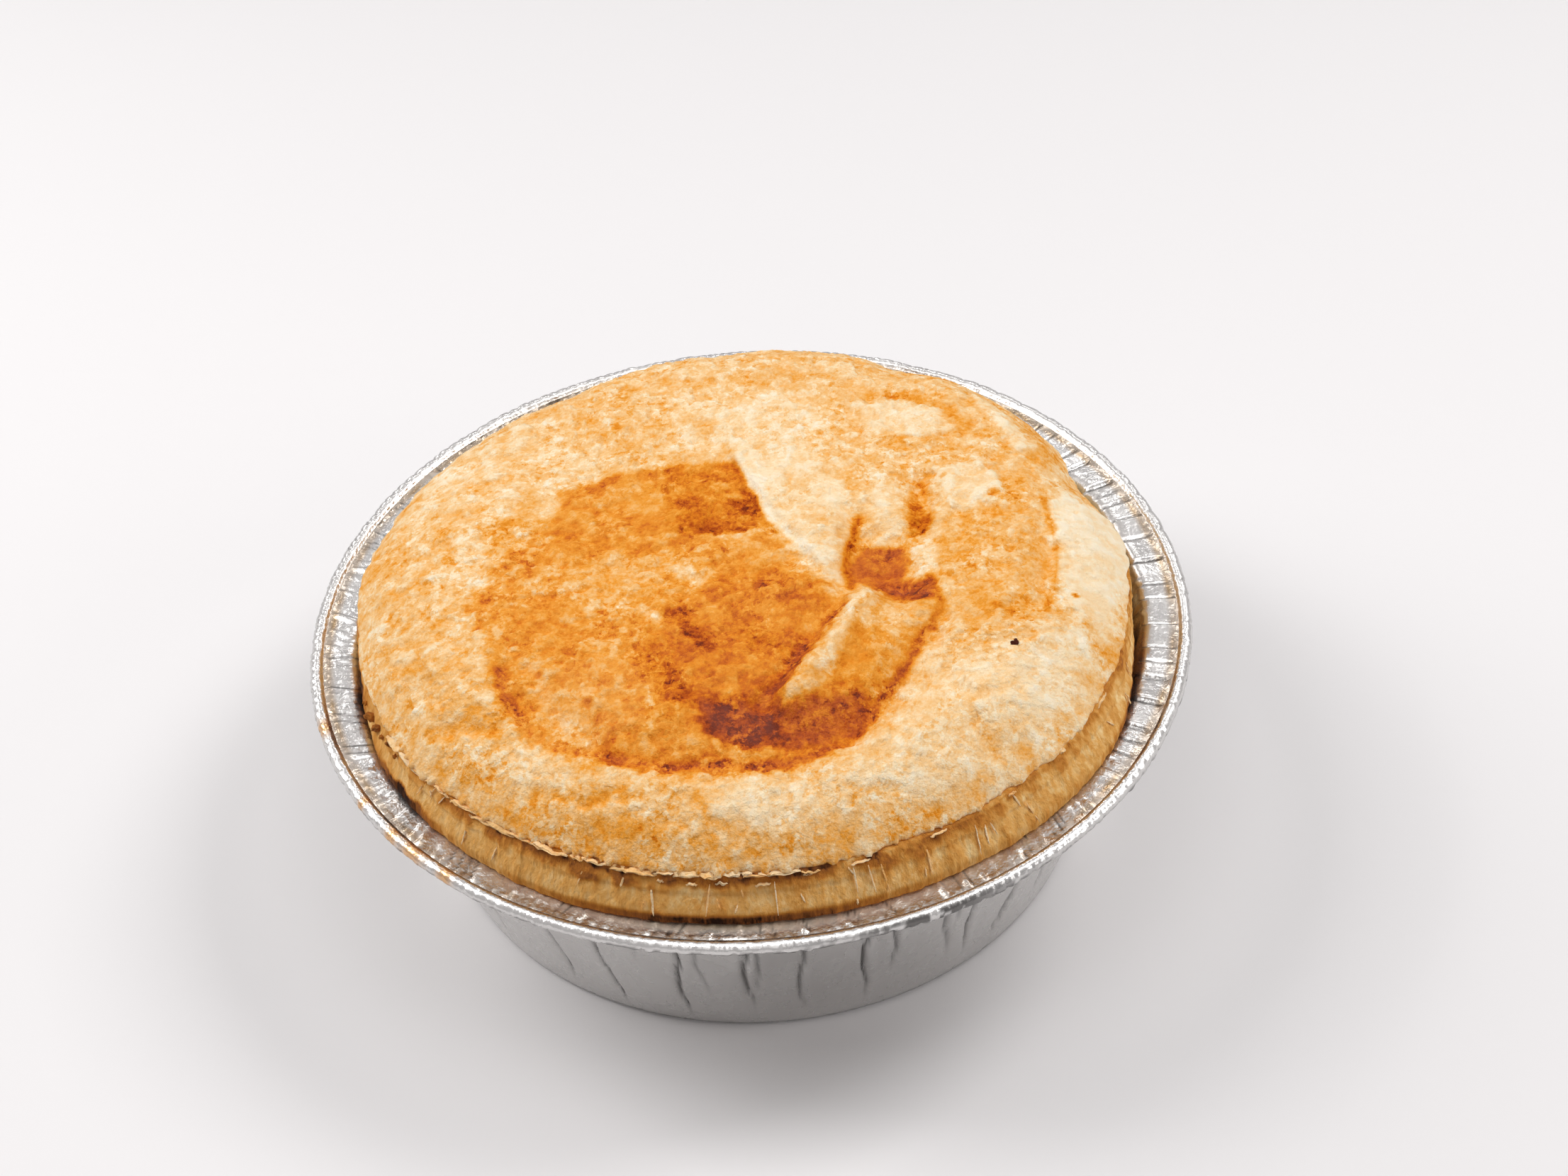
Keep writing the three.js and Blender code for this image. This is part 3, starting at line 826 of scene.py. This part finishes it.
# Small round spots, browned or burnt: place, radius, bake
bakedSpots = [
    (-18.5, -24.5, 1.3, 0.72), (-21, -27.5, 0.9, 0.72), (-19.5, -30, 1.1, 0.74), (-18, -33, 1.4, 0.74),
    (-27, -21.5, 0.7, 0.84), (-24, -23.5, 0.6, 0.72), (-16, -28, 0.7, 0.72), (-33, 2, 1.0, 0.52),
    (-30.5, 4.5, 0.8, 0.54), (-34.5, 5.5, 0.8, 0.5), (1.5, -11.5, 1.0, 0.84), (31.5, -16.5, 0.9, 0.68),
    (33, -17.4, 0.8, 0.68), (33.8, 5.6, 0.9, 0.62), (29, -9, 1.0, 0.6), (27.5, 9.5, 0.6, 0.56),
    (42, -13.3, 0.45, 0.95),
]
scatteredSpots = {"count": 130, "reach": 42, "radius": (0.3, 0.9), "bake": 0.14, "depth": 0.12, "seed": 21}

# The same forms as relief: strokes that rise or sink with a soft section. Each has its two ends, its
# half width and how far it rises
lidStrokes = [
    ((-4, -32.5), (8, -34), 3.4, -0.8), ((4.5, -29), (15, -12.5), 2.6, 1.7),
    ((1, -30), (11.5, -14), 2.0, -1.1), ((11, -36), (24.5, -17), 2.0, -1.1),
    ((18, -2.5), (18.5, -10), 4.2, -2.4), ((14.8, 3), (13, -10), 1.9, -1.1),
    ((24, 10), (23.5, -1), 1.8, -1.0), ((-38, -27.5), (-32.5, -29), 1.4, -0.7),
    ((27, -35), (29, -38), 1.5, -0.7), ((30, 29), (41, 17), 5.0, 0.9),
]
lidArcs = [
    {"centre": (-0.6, -0.6), "radius": 40, "halfWidth": 1.5, "from": -30, "to": 10, "rise": -0.8},
    {"centre": (-3, -8), "radius": 30.5, "halfWidth": 3.8, "from": -165, "to": -15, "rise": -1.5},
]
tornSheet = {"from": (-0.5, 17), "to": (9.5, -6), "rise": 0.7, "fade": 20}
# Thin layers of pastry that have flaked off in patches: patch size, how high the left ones stand, and
# how much paler they are
flaking = [
    {"size": 4.4, "seed": 6, "low": 0.0, "high": 0.1, "rise": 0.24, "pale": 0.07},
    {"size": 1.8, "seed": 7, "low": 0.02, "high": 0.16, "rise": 0.15, "pale": 0.09},
]
# The unevenness of the whole lid, at three sizes
lidLumps = {
    "broad": {"size": 9, "seed": 1, "octaves": 3, "rise": 0.3, "bake": 0.08},
    "middle": {"size": 3.4, "seed": 2, "octaves": 4, "rise": 0.14, "bake": 0.06, "brownedBake": 0.03},
    "small": {"size": 1.3, "seed": 3, "octaves": 3, "rise": 0.1},
}
plainBake = 0.32


def sheetRise(x, y):
    (startX, startY), (endX, endY) = tornSheet["from"], tornSheet["to"]
    length = math.hypot(endX - startX, endY - startY)
    runX, runY = (endX - startX) / length, (endY - startY) / length
    along = (x - startX) * runX + (y - startY) * runY
    side = (y - startY) * runX - (x - startX) * runY
    ends = smoothStep(along, -8, 2) * (1 - smoothStep(along, length - 2, length + 4))
    step = smoothStep(side, -0.5, 0.5) * (1 - smoothStep(side, 2, tornSheet["fade"]))
    return tornSheet["rise"] * ends * step


def makeLidMask(mark, x, y, waver):
    if "outline" in mark:
        depth = depthInside(x, y, mark["outline"]) + mark["ragged"] * waver
        return smoothStep(depth, -mark["feather"], mark["feather"])
    path = mark.get("path")
    if "arc" in mark:
        radius, start, end = mark["arc"]
        turns = [math.radians(start + (end - start) * step / 24) for step in range(25)]
        path = [(radius * math.cos(turn), radius * math.sin(turn)) for turn in turns]
    away = pathDistance(x, y, path) + mark["ragged"] * waver
    return bell(away, mark["halfWidth"])


# Height of the smooth lid, before anything marks it
def lidHeight(radius):
    rise = pie["crownHeight"] - pie["seamHeight"]
    return pie["seamHeight"] + rise * (1 - (radius / pie["seamRadius"]) ** pie["shoulderPower"])


# How far baked the crust is, how greasy and how even in colour, and how high each place of the lid stands
def markLid(places):
    x, y = places[:, 0], places[:, 1]
    flat = np.column_stack([x, y, np.zeros(len(x))])
    broad, middle, small = (
        lumps(flat, kind["size"], kind["seed"], kind["octaves"]) for kind in lidLumps.values())
    waver = 0.6 * lumps(flat, 3.0, 4, 4) + 0.4 * small
    bake = plainBake + lidLumps["broad"]["bake"] * broad
    gloss = np.zeros(len(x))
    calm = np.zeros(len(x))
    rise = np.zeros(len(x))
    for mark in lidMarks.values():
        mask = makeLidMask(mark, x, y, waver)
        calm += (mark.get("calm", 0) - calm) * mask
        bake += (mark["bake"] - bake) * mark["cover"] * mask
        gloss = np.maximum(gloss * (1 - 0.5 * mask), mark.get("gloss", 0) * mask)
        rise += mark.get("rise", 0) * mask
    for start, end, halfWidth, height in lidStrokes:
        rise += height * bell(pathDistance(x, y, [start, end]), halfWidth)
    for arc in lidArcs:
        radius, angle = findPolar(x - arc["centre"][0], y - arc["centre"][1])
        share = smoothStep(angle, arc["from"], arc["from"] + 25)
        share = share * (1 - smoothStep(angle, arc["to"] - 25, arc["to"]))
        rise += arc["rise"] * share * bell(radius - arc["radius"], arc["halfWidth"])
    rise += sheetRise(x + 0.5 * waver, y)
    # flaked patches, less so where gravy has soaked in
    browned = smoothStep(bake, 0.45, 0.6)
    soaked = smoothStep(bake, 0.72, 0.88)
    for layer in flaking:
        kept = smoothStep(lumps(flat, layer["size"], layer["seed"], 4), layer["low"], layer["high"])
        rise += layer["rise"] * (1 - 0.6 * soaked) * kept
        bake -= layer["pale"] * (1 - 0.8 * soaked) * (kept - 0.5)
    mottle = lidLumps["middle"]["bake"] + lidLumps["middle"]["brownedBake"] * browned
    bake += mottle * (1 - 0.6 * soaked) * middle
    rise += lidLumps["broad"]["rise"] * broad + lidLumps["middle"]["rise"] * middle
    rise += lidLumps["small"]["rise"] * (1 - 0.5 * soaked) * small
    draw = random.Random(scatteredSpots["seed"])
    for count in range(scatteredSpots["count"]):
        turn, reach = draw.uniform(0, 2 * math.pi), scatteredSpots["reach"] * math.sqrt(draw.random())
        away = np.hypot(x - reach * math.cos(turn), y - reach * math.sin(turn)) * (1 + 0.4 * small)
        spot = bell(away, draw.uniform(*scatteredSpots["radius"])) * (0.3 + 0.7 * browned)
        bake += scatteredSpots["bake"] * spot
        rise -= scatteredSpots["depth"] * spot
    for spotX, spotY, size, colour in bakedSpots:
        away = np.hypot(x - spotX, y - spotY) * (1 + 0.5 * small)
        spot = 1 - smoothStep(away, 0.6 * size, 1.1 * size)
        bake += (colour - bake) * 0.75 * spot
    return bake, gloss, calm, rise


# Shortcrust pastry baked golden: dry, matt and slightly see-through flour dough, glossier and darker
# where gravy and fat soaked in. The lid's ramp runs from raw-looking cream to dark caramelised gravy;
# the side's runs from cream to near-black, its darkest end being painted shade at the foot and painted
# shadow in each gap above the foil. The flecks are crumbs and scorched specks of flour, and matter less
# where gravy has covered them.
lidRamp = [
    (0.0, "#fdecd0"), (0.12, "#fbe1b9"), (0.26, "#f7cd95"), (0.4, "#f2b66b"), (0.53, "#ee9f3a"),
    (0.66, "#e2871c"), (0.77, "#cf6c14"), (0.87, "#b24d0e"), (0.94, "#93390c"), (1.0, "#6f280e"),
]
sideRamp = [
    (0.0, "#fbe9c4"), (0.2, "#f3d094"), (0.4, "#e3aa5f"), (0.55, "#cf8c3f"), (0.7, "#b5702e"),
    (0.85, "#8c542a"), (0.93, "#5f371b"), (1.0, "#2b1810"),
]
crustFlecks = [
    {"size": 2.6, "low": 0.38, "high": 0.62, "amount": 0.13, "shift": 0.0},
    {"size": 1.3, "low": 0.52, "high": 0.58, "amount": -0.17, "shift": 3.1},
    {"size": 1.1, "low": 0.53, "high": 0.6, "amount": 0.17, "shift": 7.7},
    {"size": 0.5, "low": 0.4, "high": 0.6, "amount": 0.09, "shift": 12.3},
]
crustClusters = {"size": 6.0, "low": 0.4, "high": 0.6, "least": 0.25}
crustLook = {"roughness": (0.8, 0.36), "shine": (0.05, 0.2), "relief": 0.6}


def makeCrustMaterial(name, ramp, stretch, strength):
    material, tree = startMaterial(name)
    place = addNode(tree, "ShaderNodeTexCoord").outputs["Object"]
    gloss = readPaint(tree, "gloss")
    calm = addRange(tree, readPaint(tree, "smooth"), (strength, 0.3 * strength))
    clusters = addNoise(tree, place, crustClusters["size"])
    clusters = addRange(
        tree, clusters, (crustClusters["least"], 1.0), (crustClusters["low"], crustClusters["high"]))
    sparse = addMath(tree, "MULTIPLY", clusters, calm)
    level = readPaint(tree, "bake")
    heights = []
    for fleck in crustFlecks:
        values = {"Scale": stretch, "Location": (fleck["shift"] * mm,) * 3}
        turned = addNode(tree, "ShaderNodeMapping", values, {"Vector": place}).outputs["Vector"]
        grains = addNoise(tree, turned, fleck["size"], 4.0, Roughness=0.62, Distortion=0.2)
        # a soft fleck keeps the mean, and sparse ones come in clusters and only add to it
        isSoft = fleck["low"] < 0.5
        middle = 0.5 * fleck["amount"] if isSoft else 0.0
        crisp = addRange(
            tree, grains, (-middle, fleck["amount"] - middle), (fleck["low"], fleck["high"]),
            interpolation_type="SMOOTHSTEP")
        level = addMath(tree, "MULTIPLY_ADD", crisp, calm if isSoft else sparse, level)
        heights.append(grains)
    colour = addNode(tree, "ShaderNodeValToRGB", links={"Fac": level})
    setRamp(colour, ramp)
    relief = addMath(tree, "MULTIPLY_ADD", heights[3], 0.5, heights[1])
    values = {"Strength": 0.75, "Distance": crustLook["relief"] * mm}
    bump = addNode(tree, "ShaderNodeBump", values, {"Height": relief})
    endMaterial(tree, {
        "Subsurface Weight": 0.06,
        "Subsurface Radius": (1.0, 0.55, 0.25),
        "Subsurface Scale": 0.4 * mm,
    }, {
        "Base Color": colour.outputs["Color"],
        "Roughness": addRange(tree, gloss, crustLook["roughness"]),
        "Specular IOR Level": addRange(tree, gloss, crustLook["shine"]),
        "Normal": bump.outputs["Normal"],
    })
    return material


# The lid's edge wavers, with small ragged teeth in front; below it the edge turns down and in,
# through points set in from the seam and down from it
lidEdge = {"waver": 0.35, "teeth": 0.45, "turn": [(0, 0), (0.02, -0.35), (-0.35, -0.75), (-1.4, -1.0)]}


# How far the lid's edge wavers, at each place of the smooth disc
def edgeWaver(x, y, radius, angle):
    flat = np.column_stack([x, y, 0 * x])
    waver = 0.15 * np.sin(7 * angle) + 0.15 * np.sin(17 * angle + 1)
    waver += lidEdge["waver"] * lumps(flat, 2.6, 9, 3)
    ragged = smoothStep(lumps(flat, 1.1, 10, 2), 0.0, 0.3)
    inFront = smoothStep(-np.sin(angle), 0.2, 0.6) * (1 - 0.6 * smoothStep(np.cos(angle), 0.3, 0.8))
    outermost = smoothStep(radius, pie["seamRadius"] - 0.8, pie["seamRadius"])
    return waver + lidEdge["teeth"] * ragged * inFront * outermost


def makeLid():
    deselectAll()
    bpy.ops.mesh.primitive_grid_add(x_subdivisions=pie["lidCells"], y_subdivisions=pie["lidCells"], size=2)
    lid = startPiece("pie_lid")
    # the square grid is moved onto a disc, ring by ring, so that all cells stay alike
    a, b = readPlaces(lid).T[:2] * mm
    wide = np.abs(a) >= np.abs(b)
    safe = np.where(np.maximum(np.abs(a), np.abs(b)) == 0, 1, np.where(wide, a, b))
    turn = np.where(wide, math.pi / 4 * b / safe, math.pi / 2 - math.pi / 4 * a / safe)
    reach = np.where(wide, a, b) * pie["seamRadius"]
    x, y = reach * np.cos(turn), reach * np.sin(turn)
    radius = np.hypot(x, y)
    angle = np.arctan2(y, x)
    edge = smoothStep(radius, pie["seamRadius"] - 4, pie["seamRadius"])
    dipped = smoothStep(radius, pie["seamRadius"] - pie["dipReach"], pie["seamRadius"])
    shift = edge * edgeWaver(x, y, radius, angle) - dipped * dipDepth(np.degrees(angle))
    factor = 1 + shift / np.maximum(radius, 1)
    x = x * factor + pie["centre"][0]
    y = y * factor + pie["centre"][1]
    places = np.column_stack([x, y, lidHeight(radius)])
    rise = markLid(places)[3]
    places[:, 2] += rise * (1 - 0.85 * edge)
    writePlaces(lid, places)
    selectRim()
    turned = [(pie["seamRadius"] + out, pie["seamHeight"] + up) for out, up in lidEdge["turn"]]
    growLoop(turned, pie["centre"])
    bpy.ops.transform.resize(value=(1, 1, 0), center_override=(0, 0, pie["lidUnderside"] * mm))
    closeLoop()
    bpy.ops.object.shade_smooth()
    bake, gloss, calm, rise = markLid(readPlaces(lid))
    for name, values in (("bake", bake), ("gloss", gloss), ("smooth", calm)):
        paint(lid, name, np.clip(values, 0, 1))
    lid.data.materials.append(makeCrustMaterial("baked shortcrust lid", lidRamp, (1, 1, 1), 1.0))
    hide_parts("pie")
    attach(lid, "root")
    print("pie lid:", len(lid.data.polygons), "faces")
    return lid


makeLid()

side = {
    "steps": 1200,
    "bottom": 0.9,
    "baseRings": (4, 24),
    "corner": 1.2,
    "baseRadius": 43.0,
    "tuck": (50.6, 29.9),  # radius and height where the side goes down inside the foil
    "inner": (51.0, 32.05),
    "shown": [(51.8, 32.1), (51.85, 33.5), (51.4, 35.6), (51.5, 36.1), (51.1, 37.5)],
    "ledgeHeight": 35.8,  # where two layers of pastry meet
    "ledgeDepth": 0.14,
    "lean": 2.5,  # the side leans out over the flange at the front, less at the left
    "closedSeam": 0.35,  # how far the side rises against the lid's edge, most of all at the right
    "hiddenSteps": 8,
    "shownSteps": 26,
}


# How far the side leans out, from the angle and the height
def leanDepth(angle, height):
    turn = np.radians(angle)
    front = smoothStep(-np.sin(turn), 0.15, 0.6) * (1 - 0.4 * smoothStep(-np.cos(turn), 0.4, 0.8))
    share = 1 - smoothStep(height, 32.6, 39.1)
    return side["lean"] * front * share * (height > side["inner"][1] + 0.02)


# A point on the side at an angle and height, set out from the surface
def sidePlace(angle, height, out=0.0):
    radii, heights = zip(*side["shown"])
    turn = np.array([float(angle)])
    radius = float(np.interp(height, heights, radii)) + leanDepth(turn, np.array([height]))[0] + out
    radius -= dipDepth(turn)[0]
    bend = math.radians(angle)
    x, y = pie["centre"]
    return Vector((x + radius * math.cos(bend), y + radius * math.sin(bend), height))


def sideProfile():
    low, foot = side["bottom"], side["baseRadius"] - side["corner"]
    start, (tuckRadius, tuckHeight) = low + side["corner"], side["tuck"]
    profile = [(ring, low) for ring in side["baseRings"]] + [(foot, low)]
    for step in range(side["hiddenSteps"] + 1):
        share = step / side["hiddenSteps"]
        radius = side["baseRadius"] + (tuckRadius - side["baseRadius"]) * share
        profile.append((radius, start + (tuckHeight - start) * share))
    profile.append(side["inner"])
    radii, heights = zip(*side["shown"])
    for step in range(side["shownSteps"] + 1):
        height = heights[0] + (heights[-1] - heights[0]) * step / side["shownSteps"]
        profile.append((float(np.interp(height, heights, radii)), height))
    return profile + [(radii[-1] - 0.8, heights[-1]), (24, heights[-1] - 0.3)]


# Moves the side's vertices, and returns the lumps and fibres that its colours follow too
def shapeSide(crust):
    places = readPlaces(crust)
    x, y, z = (places - np.array([*pie["centre"], 0])).T
    radius, angle = findPolar(x, y)
    onWall = smoothStep(radius, side["baseRadius"] - 2, side["baseRadius"]) * smoothStep(z, 2, 6)
    above = smoothStep(z, 31, 32)
    fibres = smoothStep(lumps(places, 0.9, 31, 3, (1, 1, 8)), -0.2, 0.35) - 0.5
    folds = lumps(places, 2.6, 32, 3, (1, 1, 2.5))
    grains = lumps(places, 0.9, 35, 3)
    ledge = side["ledgeHeight"] + 0.6 * lumps(places, 6, 33, 3, (1, 1, 50))
    below = 1 - smoothStep(z, ledge - 0.2, ledge + 0.2)
    shift = above * (0.08 * fibres + 0.24 * folds + 0.05 * grains - side["ledgeDepth"] * below)
    shift += leanDepth(angle, z)
    shift -= dipDepth(angle) * smoothStep(z, side["inner"][1], side["ledgeHeight"])
    factor = 1 + onWall * shift / np.maximum(radius, 1)
    places[:, 0] = x * factor + pie["centre"][0] * above
    places[:, 1] = y * factor + pie["centre"][1] * above
    closed = np.maximum(around(angle, -32, 34), 0.75 * around(angle, -95, 45))
    places[:, 2] += side["closedSeam"] * closed * smoothStep(z, 36.3, 37.4)
    writePlaces(crust, places)
    return places, angle, z, fibres, folds, grains


# An orange-brown band under the seam, khaki below, painted shade at the foot in front, and cream at
# the back right
def paintSide(crust, places, angle, z, fibres, folds, grains):
    spots = smoothStep(lumps(places, 2.2, 34, 3, (1.4, 1.4, 0.8)), -0.25, 0.2)
    band = smoothStep(z + 0.6 * folds, 35.5, 36.6) * (0.35 + 0.65 * spots)
    # dark dashes just under the lid's edge: partly browned pastry, partly painted shadow of the edge
    dashes = smoothStep(lumps(places, 1.5, 36, 3, (1.8, 1.8, 0.5)), 0.0, 0.2) * smoothStep(z, 36.6, 37.2)
    streaks = smoothStep(lumps(places, 0.8, 37, 3, (1, 1, 16)), 0.1, 0.3)
    right = around(angle, -25, 50)
    farRight = around(angle, -12, 20) * smoothStep(z, 33.6, 35.0)
    # painted shade at the foot in front, where the crust meets the foil
    foot = 1 - smoothStep(z, 32.9, 33.7 + 0.4 * folds)
    front = around(angle, -96, 24) + around(angle, -20, 12)
    bake = 0.4 + 0.1 * folds + 0.04 * fibres + 0.05 * grains - (0.05 + 0.06 * right) * streaks
    bake += 0.36 * band * (1 - 0.65 * right) + 0.22 * dashes * (1 - 0.5 * right)
    bake += 0.1 * right * smoothStep(z, 36.6, 37.1) * (0.5 + 0.5 * spots) - 0.06 * farRight
    # the painted shade at the foot
    bake += 0.55 * foot * np.clip(front, 0, 1) + 0.03 * right
    bake += (0.12 - bake) * 0.8 * around(angle, 32, 20)
    # browner at the left, with painted shadow in each gap between the crust and the foil
    bake += (0.44 + 0.25 * folds - bake) * 0.8 * around(angle, -160, 20)
    gapShadow = around(angle, -171, 4.5) * (1 - smoothStep(z, 36.0, 36.8))
    gapShadow = np.maximum(gapShadow, around(angle, -148, 8) * (1 - smoothStep(z + 0.5 * folds, 33.4, 34.0)))
    bake += (1 - bake) * gapShadow
    paint(crust, "bake", np.clip(bake, 0, 1))
    paint(crust, "gloss", np.zeros(len(z)))
    paint(crust, "smooth", np.zeros(len(z)))


def makeSide():
    profile = sideProfile()
    deselectAll()
    bpy.ops.mesh.primitive_circle_add(
        vertices=side["steps"], radius=profile[0][0] * mm, fill_type="NGON",
        location=Vector((*pie["centre"], side["bottom"])) * mm)
    crust = startPiece("pie_side")
    bpy.ops.object.transform_apply(location=True)
    selectRim()
    growLoop(profile, pie["centre"])
    closeLoop()
    shaped = shapeSide(crust)
    bpy.ops.object.shade_smooth()
    paintSide(crust, *shaped)
    crust.data.materials.append(makeCrustMaterial("baked shortcrust side", sideRamp, (1, 1, 0.25), 0.42))
    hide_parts("pie")
    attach(crust, "root")
    print("pie side:", len(crust.data.polygons), "faces")
    return crust


makeSide()

# Flakes that jut out along the seam, between two angles: the gap from one to the next, its length along
# the seam, how far it is wide and thick, and its height
seamFlakes = [
    {"from": -152, "to": -84, "gap": (0.5, 2.2), "length": (2.0, 5.2), "width": (0.5, 0.9),
     "thick": (0.14, 0.24), "height": (37.6, 37.9)},
    {"from": -104, "to": -82, "gap": (2.5, 5.5), "length": (0.9, 2.6), "width": (0.3, 0.6),
     "thick": (0.14, 0.3), "height": (36.7, 37.2)},
    {"from": -84, "to": -22, "gap": (5.0, 12.0), "length": (1.2, 3.6), "width": (0.4, 0.8),
     "thick": (0.1, 0.2), "height": (37.3, 37.8)},
]
# Threads that hang over the side: the angles of the long ones, and how many short ones lie between
sideThreads = {
    "long": [-105.3, -97.4, -88.9, -78.3, -76.3, -74.6, -60.4, -59.0, -68.0, -52.0],
    "short": 22,
    "from": -150,
    "to": -18,
    "longLength": (2.8, 4.6),
    "shortLength": (0.8, 2.4),
    "width": (0.12, 0.24),
    "thick": (0.1, 0.18),
}
# Brown crumbs caught at the left: angle, height and size
brownCrumbs = [
    (-163.5, 36.3, 0.8), (-160.5, 36.2, 1.4), (-158.6, 35.6, 1.0), (-157.4, 36.6, 0.9),
    (-155.6, 36.4, 0.7), (-153.4, 36.9, 1.0), (-151.0, 36.6, 0.6),
]
burntSpecks = [(33, -22.6, 0.95)]  # place on the lid, and size


# A thin ragged sliver of pastry, one millimetre long and wide before it is stretched
def makeSliver(seed):
    deselectAll()
    bpy.ops.mesh.primitive_cube_add(size=mm)
    sliver = startPiece("pastry_sliver")
    bpy.ops.object.mode_set(mode="EDIT")
    bpy.ops.mesh.select_all(action="SELECT")
    bpy.ops.mesh.subdivide(number_cuts=7)
    bpy.ops.object.mode_set(mode="OBJECT")
    places = readPlaces(sliver)
    taper = 1 - 0.7 * (2 * np.abs(places[:, 0])) ** 3
    places[:, 1:] *= taper[:, None]
    places[:, 1] += 0.35 * lumps(places, 0.35, seed, 2)
    places[:, 2] += 0.3 * lumps(places, 0.5, seed + 1, 2)
    places[:, 2] += 1.6 * lumps(places * np.array([1, 0, 0]), 0.3, seed + 2, 2)
    writePlaces(sliver, places)
    bpy.ops.object.shade_smooth()
    return sliver


def makeCrumb(seed):
    deselectAll()
    bpy.ops.mesh.primitive_ico_sphere_add(subdivisions=3, radius=0.5 * mm)
    crumb = startPiece("pastry_crumb")
    places = readPlaces(crumb)
    places *= 1 + 0.9 * lumps(places, 0.6, seed, 3)[:, None]
    writePlaces(crumb, places)
    bpy.ops.object.shade_smooth()
    return crumb


# A copy of a shape with a mesh of its own, laid along one direction and facing another
def layCopy(shape, spot, along, facing, size, bake):
    along = along.normalized()
    across = facing.cross(along).normalized()
    turn = Matrix((along, across, along.cross(across))).transposed().to_4x4()
    copy = shape.copy()
    copy.data = shape.data.copy()
    bpy.context.collection.objects.link(copy)
    copy.matrix_world = Matrix.Translation(spot * mm) @ turn @ Matrix.Diagonal((*size, 1))
    paint(copy, "bake", np.full(len(copy.data.vertices), bake))
    return copy


def joinCopies(name, copies, shapes, material):
    deselectAll()
    for copy in copies:
        copy.select_set(True)
    bpy.context.view_layer.objects.active = copies[0]
    bpy.ops.object.join()
    piece = startPiece(name)
    bpy.ops.object.transform_apply(location=True, rotation=True, scale=True)
    for shape in shapes:
        bpy.data.objects.remove(shape)
    piece.data.materials.clear()
    piece.data.materials.append(material)
    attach(piece, "root")
    print(name + ":", len(copies), "copies,", len(piece.data.polygons), "faces")
    return piece


def layFlakes(draw, slivers):
    up = Vector((0, 0, 1))
    copies = []
    for row in seamFlakes:
        angle = row["from"]
        while angle < row["to"]:
            length = draw.uniform(*row["length"])
            spot = sidePlace(angle, draw.uniform(*row["height"]), draw.uniform(0.0, 0.35))
            bend = math.radians(angle)
            along = Vector((-math.sin(bend), math.cos(bend), draw.uniform(-0.1, 0.1)))
            facing = up + 0.5 * draw.uniform(-1, 1) * Vector((math.cos(bend), math.sin(bend), 0))
            size = (length, draw.uniform(*row["width"]), draw.uniform(*row["thick"]))
            shape = draw.choice(slivers)
            copies.append(layCopy(shape, spot, along, facing, size, draw.uniform(0.14, 0.34)))
            angle += math.degrees((draw.uniform(*row["gap"]) + 0.4 * length) / pie["seamRadius"])
    return copies


def layThreads(draw, slivers):
    threads = sideThreads
    angles = [(angle, threads["longLength"]) for angle in threads["long"]]
    for count in range(threads["short"]):
        angles.append((draw.uniform(threads["from"], threads["to"]), threads["shortLength"]))
    copies = []
    for angle, lengths in angles:
        length = draw.uniform(*lengths)
        top = draw.uniform(max(33.6, 32.4 + length), 37.6)
        start = sidePlace(angle, top, 0.1)
        end = sidePlace(angle + draw.uniform(-0.8, 0.8), top - 0.85 * length, 0.15)
        facing = (start - Vector((*pie["centre"], start.z))).normalized()
        size = ((start - end).length, draw.uniform(*threads["width"]), draw.uniform(*threads["thick"]))
        shape = draw.choice(slivers)
        bake = draw.uniform(0.12, 0.4)
        copies.append(layCopy(shape, (start + end) / 2, end - start, facing, size, bake))
    return copies


def makeFlakes():
    draw = random.Random(5)
    slivers = [makeSliver(seed) for seed in (3, 8, 13, 18)]
    copies = layFlakes(draw, slivers) + layThreads(draw, slivers)
    material = makeCrustMaterial("torn pastry flakes", lidRamp, (1, 1, 1), 0.4)
    return joinCopies("pastry_flakes", copies, slivers, material)


def makeCrumbs():
    draw = random.Random(6)
    shapes = [makeCrumb(seed) for seed in (4, 9, 14)]
    copies = []
    for angle, height, size in brownCrumbs:
        spot = sidePlace(angle, height, 0.25)
        along = Vector((draw.uniform(-1, 1), draw.uniform(-1, 1), draw.uniform(-1, 1)))
        sizes = (size, 0.8 * size, 0.7 * size)
        shape = draw.choice(shapes)
        copies.append(layCopy(shape, spot, along, Vector((0.1, 0.2, 1)), sizes, draw.uniform(0.72, 0.86)))
    material = makeCrustMaterial("browned pastry crumbs", sideRamp, (1, 1, 1), 0.4)
    return joinCopies("brown_crumbs", copies, shapes, material)


# Specks of flour and gravy that burned black
def makeSpecks():
    shape = makeCrumb(22)
    copies = []
    for x, y, size in burntSpecks:
        radius = math.hypot(x - pie["centre"][0], y - pie["centre"][1])
        rise = markLid(np.array([[x, y, 0.0]]))[3][0]
        spot = Vector((x, y, float(lidHeight(radius) + rise)))
        sizes = (size, 1.1 * size, 0.45 * size)
        copies.append(layCopy(shape, spot, Vector((1, 0.2, 0)), Vector((0, 0, 1)), sizes, 1.0))
    material, tree = startMaterial("charred crumb")
    endMaterial(tree, {"Base Color": hexColour("#431a0d"), "Roughness": 0.8, "Specular IOR Level": 0.1})
    return joinCopies("burnt_specks", copies, [shape], material)


makeFlakes()
makeCrumbs()
makeSpecks()

deselectAll()
